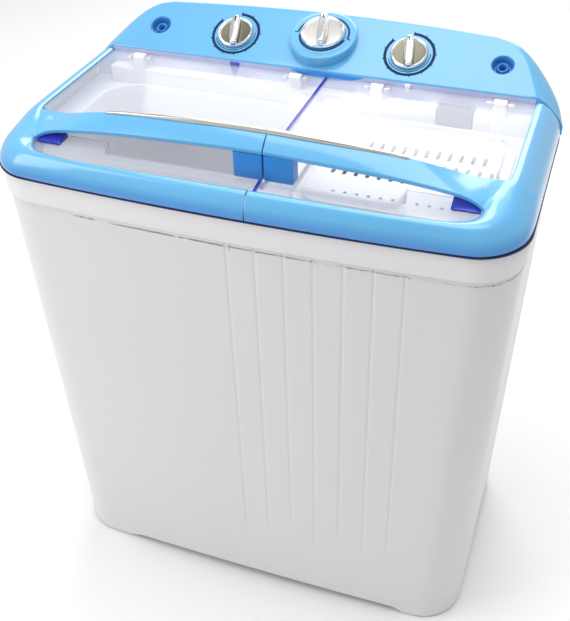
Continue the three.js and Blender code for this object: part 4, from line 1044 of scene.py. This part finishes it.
def dial_marks():
    pieces = []
    for x in (-TIMER_X, TIMER_X):
        place = dial_place(x, DIAL_S)
        pieces.append(ring_strip(place, 27.0, 30.5, -3, 308))
        pieces.append(ring_strip(place, 24.3, 25.2, 80, 248, 48))
        for k in range(12):
            a = -1 + 28.0 * k
            pieces.append(ring_strip(place, 30.5, 32.0, a - 1.1, a + 1.1, 3))
    pieces.append(ring_strip(on_boss, 30.0, 32.2, -90, 96))
    pieces.append(ring_strip(on_boss, 27.2, 29.4, 102, 262, 48))
    for a in (-91, 97):
        pieces.append(ring_strip(on_boss, 31.6, 35.2, a - 1.4, a + 1.4, 3))
    marks = merge("dial_marks", pieces)
    soften(marks.data)
    give(marks, "machine", "inlet_plastic", NAVY)


KNOB_TURN = radians(11)


def knob_matrix(joint):
    tilt = BOSS_TILT if joint == "selector_turn" else TILT
    return Matrix.Translation(joint_mm(joint) * MM) @ Matrix.Rotation(tilt, 4, "X")


def knob(name, body, node, joint, high, r, half, depth, look):
    """Turned disc with a grip bar across it. It is made about its own axis, so that its rings centre on it."""
    profile = [
        (0, depth), (3.1, depth), (3.1, 1.0), (r - 1.2, 1.0), (r - 0.3, 1.4), (r, 2.4), (r - 0.15, 3.5),
        (r - 0.5, 4.7), (r - 1.0, 5.5)
    ]
    profile += [(r - 1.7, 5.9), (r - 2.4, 5.7), (r - 3.0, 5.0), (r - 3.5, 4.5), (r - 5, 4.3), (0, 4.3)]
    disc = lathe("disc", profile, 96)
    rings = []
    for z, wide, long in (
        (3.9, half + 0.5, r - 0.6), (5, half + 0.2, r - 0.6), (high - 3, half - 0.2, r - 0.9),
        (high - 1.3, half - 0.6, r - 1.4), (high - 0.45, half - 1.3, r - 2.2), (high, half - 2.4, r - 3.5)
    ):
        ring = []
        for i in range(48):
            a = 2 * pi * i / 48
            c, s = cos(a), sin(a)
            ring.append((wide * copysign(abs(c) ** 0.55, c), long * copysign(abs(s) ** 0.8, s), z))
        rings.append(ring)
    grip = loft("grip", rings)
    groove = [[
        (dx, y, high + dz) for dx, dz in ((-0.9, 0.6), (0.9, 0.6), (0.6, -0.9), (-0.6, -0.9))
    ] for y in (r * 0.5, r + 3)]
    boolean(grip, loft("tool", groove))
    obj = join(name, [disc, grip])
    obj.data.transform(Matrix.Rotation(KNOB_TURN, 4, "Z"))
    obj.matrix_world = knob_matrix(joint)
    give(obj, body, "bright_metal", look, node)
    rings = [[
        (dx, y, high - dz) for dx, dz in ((-0.5, 0.9), (0.5, 0.9), (0.5, 0.55), (-0.5, 0.55))
    ] for y in (r * 0.5 + 0.5, r * 0.7, r - 3.0)]
    pointer = loft(f"{body}_pointer", rings)
    pointer.data.transform(Matrix.Rotation(KNOB_TURN, 4, "Z"))
    pointer.matrix_world = knob_matrix(joint)
    give(pointer, body, "black_plastic", NAVY)


control_panel()
panel_wall()
panel_brow()
panel_ledge()
rim_shadow_strip()
for inlet_side in INLETS:
    water_inlet(inlet_side)
dial_marks()
SMALL_KNOB = knob_metal("bright_metal", 0.0189, 0.0062, (0.20, 0.175, 0.14), (0.17, 0.185, 0.13))
LARGE_KNOB = knob_metal("bright_metal_large", 0.0236, 0.0062, (0.56, 0.53, 0.49), (0.50, 0.51, 0.49))
for timer in ("wash_timer", "spin_timer"):
    knob(f"{timer}_dial_knob", f"{timer}_dial", f"{timer}_knob", f"{timer}_turn", 11.5, 22.3, 5.8, -14, SMALL_KNOB)
knob("selector_dial_knob", "selector_dial", "selector_knob", "selector_turn", 14.0, 27.0, 6.0, -22, LARGE_KNOB)


# ---- casing
GROOVES = [-5 + 31.5 * i for i in range(7)]
GROOVE_SECTION = ((-3.4, 0.0), (-2.0, 0.0), (-1.0, 0.4), (0.0, 0.7), (1.0, 0.4), (2.0, 0.0), (3.4, 0.0))


def cut_opening(obj, half, low, high):
    """Opens a rectangle in the back of a sheet."""
    bm = bmesh.new()
    bm.from_mesh(obj.data)
    for at, along_axis in (
        ((half, 0, 0), (1, 0, 0)), ((-half, 0, 0), (1, 0, 0)), ((0, 0, low), (0, 0, 1)),
        ((0, 0, high), (0, 0, 1))
    ):
        faces = [f for f in bm.faces if f.calc_center_median().y > 100 * MM]
        edges = list({e for f in faces for e in f.edges})
        verts = list({v for f in faces for v in f.verts})
        bmesh.ops.bisect_plane(bm, geom=faces + edges + verts, plane_co=Vector(at) * MM, plane_no=along_axis)
    inside = lambda c: c.y > 100 * MM and abs(c.x) < half * MM and low * MM < c.z < high * MM
    bmesh.ops.delete(bm, geom=[f for f in bm.faces if inside(f.calc_center_median())], context="FACES")
    bm.to_mesh(obj.data)
    bm.free()


def casing():
    xs = {round(-222 + 12 * i, 2) for i in range(38)}
    xs = {x for x in xs if all(abs(x - g) > 4 for g in GROOVES)}
    depth_at = {}
    for i, g in enumerate(GROOVES):
        for dx, depth in GROOVE_SECTION:
            xs.add(g + dx)
            depth_at[g + dx] = (depth, 94 + 29 * ((i * 3) % 7) / 6)
    xs = sorted(xs)
    heights = [
        3, 5, 9, 15, 24, 36, 50, 66, 84
    ] + list(range(92, 156, 6)) + list(range(170, 561, 30)) + [558, cabinet_high.z - 1.2, cabinet_high.z]

    def arch(x):
        if not -191 < x < 207:
            return 3.0
        return 3 + min((x + 191) * 0.75, (207 - x) * 0.75, 6.5 + 5.0 * (1 - ((x - 8) / 199) ** 2))

    rows = []
    for z in heights:
        t = (z - cabinet_low.z) / (cabinet_high.z - cabinet_low.z)
        plan = {k: lerp(CASING_FOOT[k], CASING_HEAD[k], t) for k in PLAN}
        inset = 2.2 if z == heights[-1] else 0.0
        row = []
        ring = outline(plan, inset, 14, 20, 10, front_xs=xs)
        for i, (x, y) in enumerate(ring):
            depth = 0.0
            if i >= len(ring) - len(xs):
                depth, start = depth_at.get(xs[i - len(ring) + len(xs)], (0.0, 100))
                depth *= step(start, start + 26, z)
            low = arch(x) if y < -100 else 3.0
            height = low + (z - 3) * (66 - low) / 63 if z < 66 else z
            row.append((x, y + depth, height))
        rows.append(row)
    obj = sheet_from("casing", rows, wrap=True, away=(0, 0, 280), sharp=50)
    cut_opening(obj, *BACK_OPENING)
    thicken(obj, CASING_WALL, 50)
    give(obj, "machine", "white_casing", CASING, "cabinet")


def deck():
    rings = [at_z(outline(SKIRT, inset, 14, 24), z) for inset, z in (
        (2.6, deck_low.z + 0.1), (1.0, deck_low.z), (0.3, deck_low.z + 0.4), (
            0, deck_low.z + 1.4
        ), (0, 580), (0.2, DECK_Z - 3), (0.8, DECK_Z - 1.2), (1.8, DECK_Z - 0.3), (3.2, DECK_Z),
    )]
    body = loft("tub_deck_body", rings)
    under = loft("tool", [at_z(outline(SKIRT, 3, 14, 24), z) for z in (deck_low.z - 2, DECK_Z - 3)])
    boolean(body, under)
    for low, high, r in ((wash_low, wash_high, 45), (spin_low, spin_high, 40)):
        mouth = (low.x - 0.3, high.x + 0.3, low.y - 0.3, high.y + 0.3)
        boolean(body, slot(*mouth, r, DECK_Z - 9, DECK_Z + 9, 10, 6))
    posts = []
    for x in HINGE_X["wash"] + HINGE_X["spin"]:
        side = arc(HINGE.y, HINGE.z, 6, range(0, 181, 15)) + [
            (HINGE.y - 6, 622), (HINGE.y - 8.3, 612), (HINGE.y - 8.5, DECK_Z - 0.5),
            (HINGE.y + 6.4, DECK_Z - 0.5), (HINGE.y + 6.4, 612)
        ]
        post = loft("post", [[(x + d, y, z) for y, z in side] for d in (-POST_HALF, POST_HALF)])
        posts.append(round_edges(post, 1.1, 3, 40))
    obj = join("tub_deck_body", [body] + posts)
    give(obj, "machine", "white_plastic", DECK_WHITE, "tub_deck")


def coaming_z(y):
    """Height of the walls round the tub mouths: low at the front, to leave room for the lids' finger recess."""
    return lerp(596.4, COAMING_Z, step(-101, -84, y))


def tub_rim(x0, x1, y0, y1, r, corner=12, side=10):
    """Rings of the rolled edge of a tub mouth, from its outside to its inside."""
    rings = []
    for inset, drop in ((0, None), (0, 1.7), (0.25, 0.8), (0.8, 0.2), (1.5, 0), (2.2, 0.2), (2.75, 0.8), (3, 1.7)):
        ring = inset_rect(x0, x1, y0, y1, inset, r - inset, corner, side)
        rings.append([(x, y, DECK_Z - 1.5 if drop is None else coaming_z(y) - drop) for x, y in ring])
    return rings


def circle_ring(like, cx, cy, r, z):
    """A circle with a point at the same bearing as each point of another ring."""
    out = []
    for x, y, _ in like:
        a = atan2(y - cy, x - cx)
        out.append((cx + r * cos(a), cy + r * sin(a), z))
    return out


def wash_basin():
    x0, x1, y0, y1, r = wash_low.x, wash_high.x, wash_low.y, wash_high.y, 45.0
    rings = tub_rim(x0, x1, y0, y1, r)
    for inset, z in (
        (3.2, 590), (5, 500), (7, 400), (9, 300), (10.6, 246), (11.4, 232), (13.6, 221), (17, 213.6),
        (20.5, 210.2), (24, 209)
    ):
        ring = inset_rect(x0, x1, y0, y1, inset, r - inset * 0.5, 12, 10)
        rings.append([(x, y, z) for x, y in ring])
    like = rings[-1]
    for radius, z in (
        (77, 209), (75.4, 208.4), (74.2, 206.8), (73.6, 200.5), (72.2, 198.6), (70, 198), (40, 198),
        (12.5, 198), (11.2, 197.4), (11, 192)
    ):
        rings.append(circle_ring(like, PULSATOR.x, PULSATOR.y, radius, z))
    obj = sheet_from("wash_basin", rings, wrap=True, up=(0, 0, 1))
    flip_check(obj)
    thicken(obj, TUB_WALL)
    give(obj, "machine", "white_plastic", WHITE, "wash_tub")


def spin_well():
    x0, x1, y0, y1, r = spin_low.x, spin_high.x, spin_low.y, spin_high.y, 40.0
    rings = tub_rim(x0, x1, y0, y1, r)
    for inset, z in ((3, 594.6), (3.3, 592.4), (4.2, 591.2), (5.6, 590.8)):
        ring = inset_rect(x0, x1, y0, y1, inset, r - inset, 12, 10)
        rings.append([(x, y, min(z, coaming_z(y) - 1.9)) for x, y in ring])
    like = rings[-1]
    for radius, z in (
        (99.2, 590.6), (98.2, 589.8), (98, 588), (98, 500), (98, 400), (98, 300), (98, 192), (97, 187),
        (93, 184), (88, 183), (60, 183), (25, 183), (24.2, 182.4), (24, 180.5)
    ):
        rings.append(circle_ring(like, SPIN.x, SPIN.y, radius, z))
    obj = sheet_from("spin_well", rings, wrap=True, up=(0, 0, 1))
    flip_check(obj)
    thicken(obj, TUB_WALL)
    give(obj, "machine", "white_plastic", WHITE, "spin_outer_tub")


def flip_check(obj):
    """Turns a basin's faces to its inside, where it is seen, by the slope of its floor."""
    floor = [f for f in obj.data.polygons if f.normal.z ** 2 > 0.9 and f.center.z < 0.3]
    if sum(f.area * f.normal.z for f in floor) < 0:
        obj.data.flip_normals()


def inner_cover():
    low, high = cover_low, cover_high
    top = COVER_TOP
    rings = []
    for inset, z in (
        (0.9, top - 2.6), (0.2, top - 2.3), (0, top - 1.6), (0, top - 0.9), (0.3, top - 0.3), (1.0, top),
        (4, top)
    ):
        ring = inset_rect(low.x, high.x, low.y, 62, inset, 22 - inset, 10, 12)
        rings.append(at_z(ring, z))
    plate = loft("plate", rings)
    tools = []
    for y, first, count in ((7, SPIN.x - 48, 11), (-22, SPIN.x - 24, 10), (-52, SPIN.x - 72, 12)):
        for i in range(count):
            x = first + i * SLOT_PITCH
            tools.append(slot(x - 2.3, x + 2.3, y - 9.5, y + 9.5, 2.25, top - 8, top + 8))
    for i in range(11):
        x = SPIN.x - 60 + i * SLOT_PITCH
        tools.append(slot(x - 2.1, x + 2.1, -98.1, -93.9, 2.05, top - 8, top + 8))
    boolean(plate, merge("tools", tools))
    knuckles = []
    for x in (70, 226):
        side = arc(66, 599, 3.4, range(-90, 181, 15)) + [(60, 600), (57, 600), (57, 597.4), (62, 597.4)]
        knuckle = loft("knuckle", [[(x + d, y, z) for y, z in side] for d in (-7, 7)])
        knuckles.append(round_edges(knuckle, 0.5, 2))
    obj = join("inner_cover_plate", [plate] + knuckles)
    give(obj, "inner_cover", "white_plastic", WHITE, "spin_inner_cover")


def lid_switch():
    """Grey housing of the spin lid's switch, open at its top."""
    low, high = box_mm("lid_switch")
    cx, cy, w, d = (low.x + high.x) / 2, (low.y + high.y) / 2, (high.x - low.x) / 2, (high.y - low.y) / 2
    rings = []
    for inset, z in (
        (0.6, low.z), (0, low.z + 0.6), (0, high.z - 1.2), (0.3, high.z - 0.4), (1.0, high.z), (2.2, high.z),
        (2.8, high.z - 0.6), (3.0, high.z - 2), (3.0, low.z + 5)
    ):
        rings.append(at_z(rounded_rect(
            cx - w + inset, cx + w - inset, cy - d + inset, cy + d - inset, 2.2 if inset < 2 else 1.2, 5, 4
        ), z))
    box = loft("lid_switch_housing", rings)
    lever = loft("lever", [[(x, y, z) for y, z in (
        (cy - 2, low.z + 4), (cy + 2, low.z + 4), (cy + 1.2, high.z - 1), (cy, high.z - 0.4),
        (cy - 1.2, high.z - 1)
    )] for x in (cx - 9, cx + 9)])
    obj = join("lid_switch_housing", [box, round_edges(lever, 0.5, 2)])
    give(obj, "machine", "grey_plastic", GREY, "lid_switch")


casing()
deck()
lid_switch()
wash_basin()
spin_well()
inner_cover()


# ---- rotors
def pulsator():
    cx, cy = PULSATOR.x, PULSATOR.y
    floor = 209.0
    profile = [
        (0.01, 21), (6, 20.7), (12, 19.6), (17, 17.4), (21, 14), (25, 9.6), (30, 7.4), (36, 6.6), (42, 6.0),
        (48, 5.4), (53, 4.8), (57, 4.1), (60, 3.1), (62.5, 1.6), (64.5, -0.4), (65.6, -2.2), (66, -3.6),
        (65.2, -4.6), (62, -4.9), (40, -4.9), (6.6, -4.9), (6.4, -3)
    ]
    sides = 120
    rings = []
    for r, h in profile:
        ring = []
        for i in range(sides):
            a = 2 * pi * i / sides
            lift = 0.0
            if h > -0.3:
                window = step(13, 24, r) * (1 - step(52, 62, r))
                for k in range(3):
                    off = (a - 0.3 - k * 2 * pi / 3 - 0.012 * (r - 20) + pi) % (2 * pi) - pi
                    lift += 10.0 * window * exp(-((r * off) / 5.2) ** 2)
            ring.append((cx + r * cos(a), cy + r * sin(a), min(floor + h + lift, 229.6)))
        rings.append(ring)
    obj = sheet_from("pulsator_disc", rings, wrap=True)
    give(obj, "wash_rotor", "white_plastic", WHITE, "pulsator")


def basket():
    cx, cy = SPIN.x, SPIN.y
    radius, columns, levels, z0, z1 = 92.0, 36, 14, 246.0, 546.0
    points, faces = [], []
    dz, da = (z1 - z0) / levels, 2 * pi / columns
    put = lambda a, z: points.append((cx + radius * cos(a), cy + radius * sin(a), z)) or len(points) - 1
    for k in range(levels):
        for i in range(columns):
            a, z = (i + 0.5) * da, z0 + (k + 0.5) * dz
            ring = [(1, 0), (1, 1), (0, 1), (-1, 1), (-1, 0), (-1, -1), (0, -1), (1, -1)]
            outer = [put(a + u * da / 2, z + v * dz / 2) for u, v in ring]
            hole = [put(a + 2.9 * cos(radians(45 * j)) / radius, z + 2.9 * sin(radians(45 * j))) for j in range(8)]
            faces += [(outer[j], outer[(j + 1) % 8], hole[(j + 1) % 8], hole[j]) for j in range(8)]
    wall = build("wall", points, faces, away=(cx, cy, 400))
    thicken(wall, BASKET_WALL)
    upper = lathe("upper", [
        (radius, z1), (radius, 556), (radius + 0.8, 559.5), (radius + 2.6, 562), (radius + 3, 564),
        (radius + 3, 570), (radius + 2, 571.6), (radius, 572), (78, 572), (76.4, 571.3), (76, 570), (76, 558),
        (76.6, 556.6), (78, 556), (86, 554.6), (89, 552.6), (89.8, 549), (89.8, z1), (radius, z1)
    ], 72)
    lower = lathe("lower", [
        (radius, z0), (radius, 236), (radius - 2, 230), (radius - 8, 226.4), (radius - 12, 226), (12, 226),
        (10, 228), (10, 266), (12, 268), (15, 266.4), (17.5, 262), (24, 240), (29, 231), (36, 228.6),
        (radius - 13, 228.4), (radius - 6, 230.6), (89.6, 237), (89.8, z0), (radius, z0)
    ], 72)
    for obj in (upper, lower):
        for v in obj.data.vertices:
            v.co.x += cx * MM
            v.co.y += cy * MM
    obj = join("spin_basket_shell", [wall, upper, lower])
    give(obj, "spin_rotor", "white_plastic", WHITE, "spin_basket")


pulsator()
basket()


# ---- carried-over CAD nodes
for node, cad in frame["nodes"].items():
    look = MATERIALS[SLOT_OF[node]]
    cad.data.materials.clear()
    cad.data.materials.append(look)


# ---- floor and light
def add_floor():
    rings = []
    for y, z in ((-6, 0), (2.5, 0), (3.4, 0.06), (4.1, 0.3), (4.6, 0.8), (4.8, 1.5), (4.9, 5)):
        rings.append([(x * 1000, y * 1000, z * 1000) for x in (-6, -2, 2, 6)])
    floor = sheet_from("floor", rings, up=(0, -0.2, 1), sharp=60)
    n = Nodes("studio_floor")
    cloud = n.noise(1.2, 2.0)
    n.feed("Base Color", n.mix(n.spread(cloud, 0, 1), (0.90, 0.90, 0.91), (0.92, 0.92, 0.93)))
    n.feed("Roughness", n.spread(cloud, 0.6, 0.7))
    floor.data.materials.append(n.mat)


def add_light(name, at, aim, size, power, colour=(1, 1, 1)):
    data = bpy.data.lights.new(name, "AREA")
    data.shape = "RECTANGLE"
    data.size, data.size_y = size
    data.energy = power
    data.color = colour
    light = bpy.data.objects.new(name, data)
    light.location = at
    light.rotation_euler = (Vector(aim) - Vector(at)).to_track_quat("-Z", "Y").to_euler()
    bpy.context.scene.collection.objects.link(light)


def add_world():
    world = bpy.data.worlds.new("studio")
    world.use_nodes = True
    world.node_tree.nodes["Background"].inputs["Color"].default_value = (1, 1, 1, 1)
    world.node_tree.nodes["Background"].inputs["Strength"].default_value = 0.6
    bpy.context.scene.world = world


add_floor()
add_world()
add_light("overhead", (0.1, -0.1, 2.3), (0, 0, 0.5), (1.6, 1.6), 21)
add_light("behind", (-0.3, 2.1, 2.2), (0, 0, 0.6), (2.2, 1.2), 33)
add_light("left", (-1.4, -1.1, 1.3), (0, 0, 0.5), (1.0, 1.4), 13)
bpy.context.scene.view_settings.view_transform = "Standard"
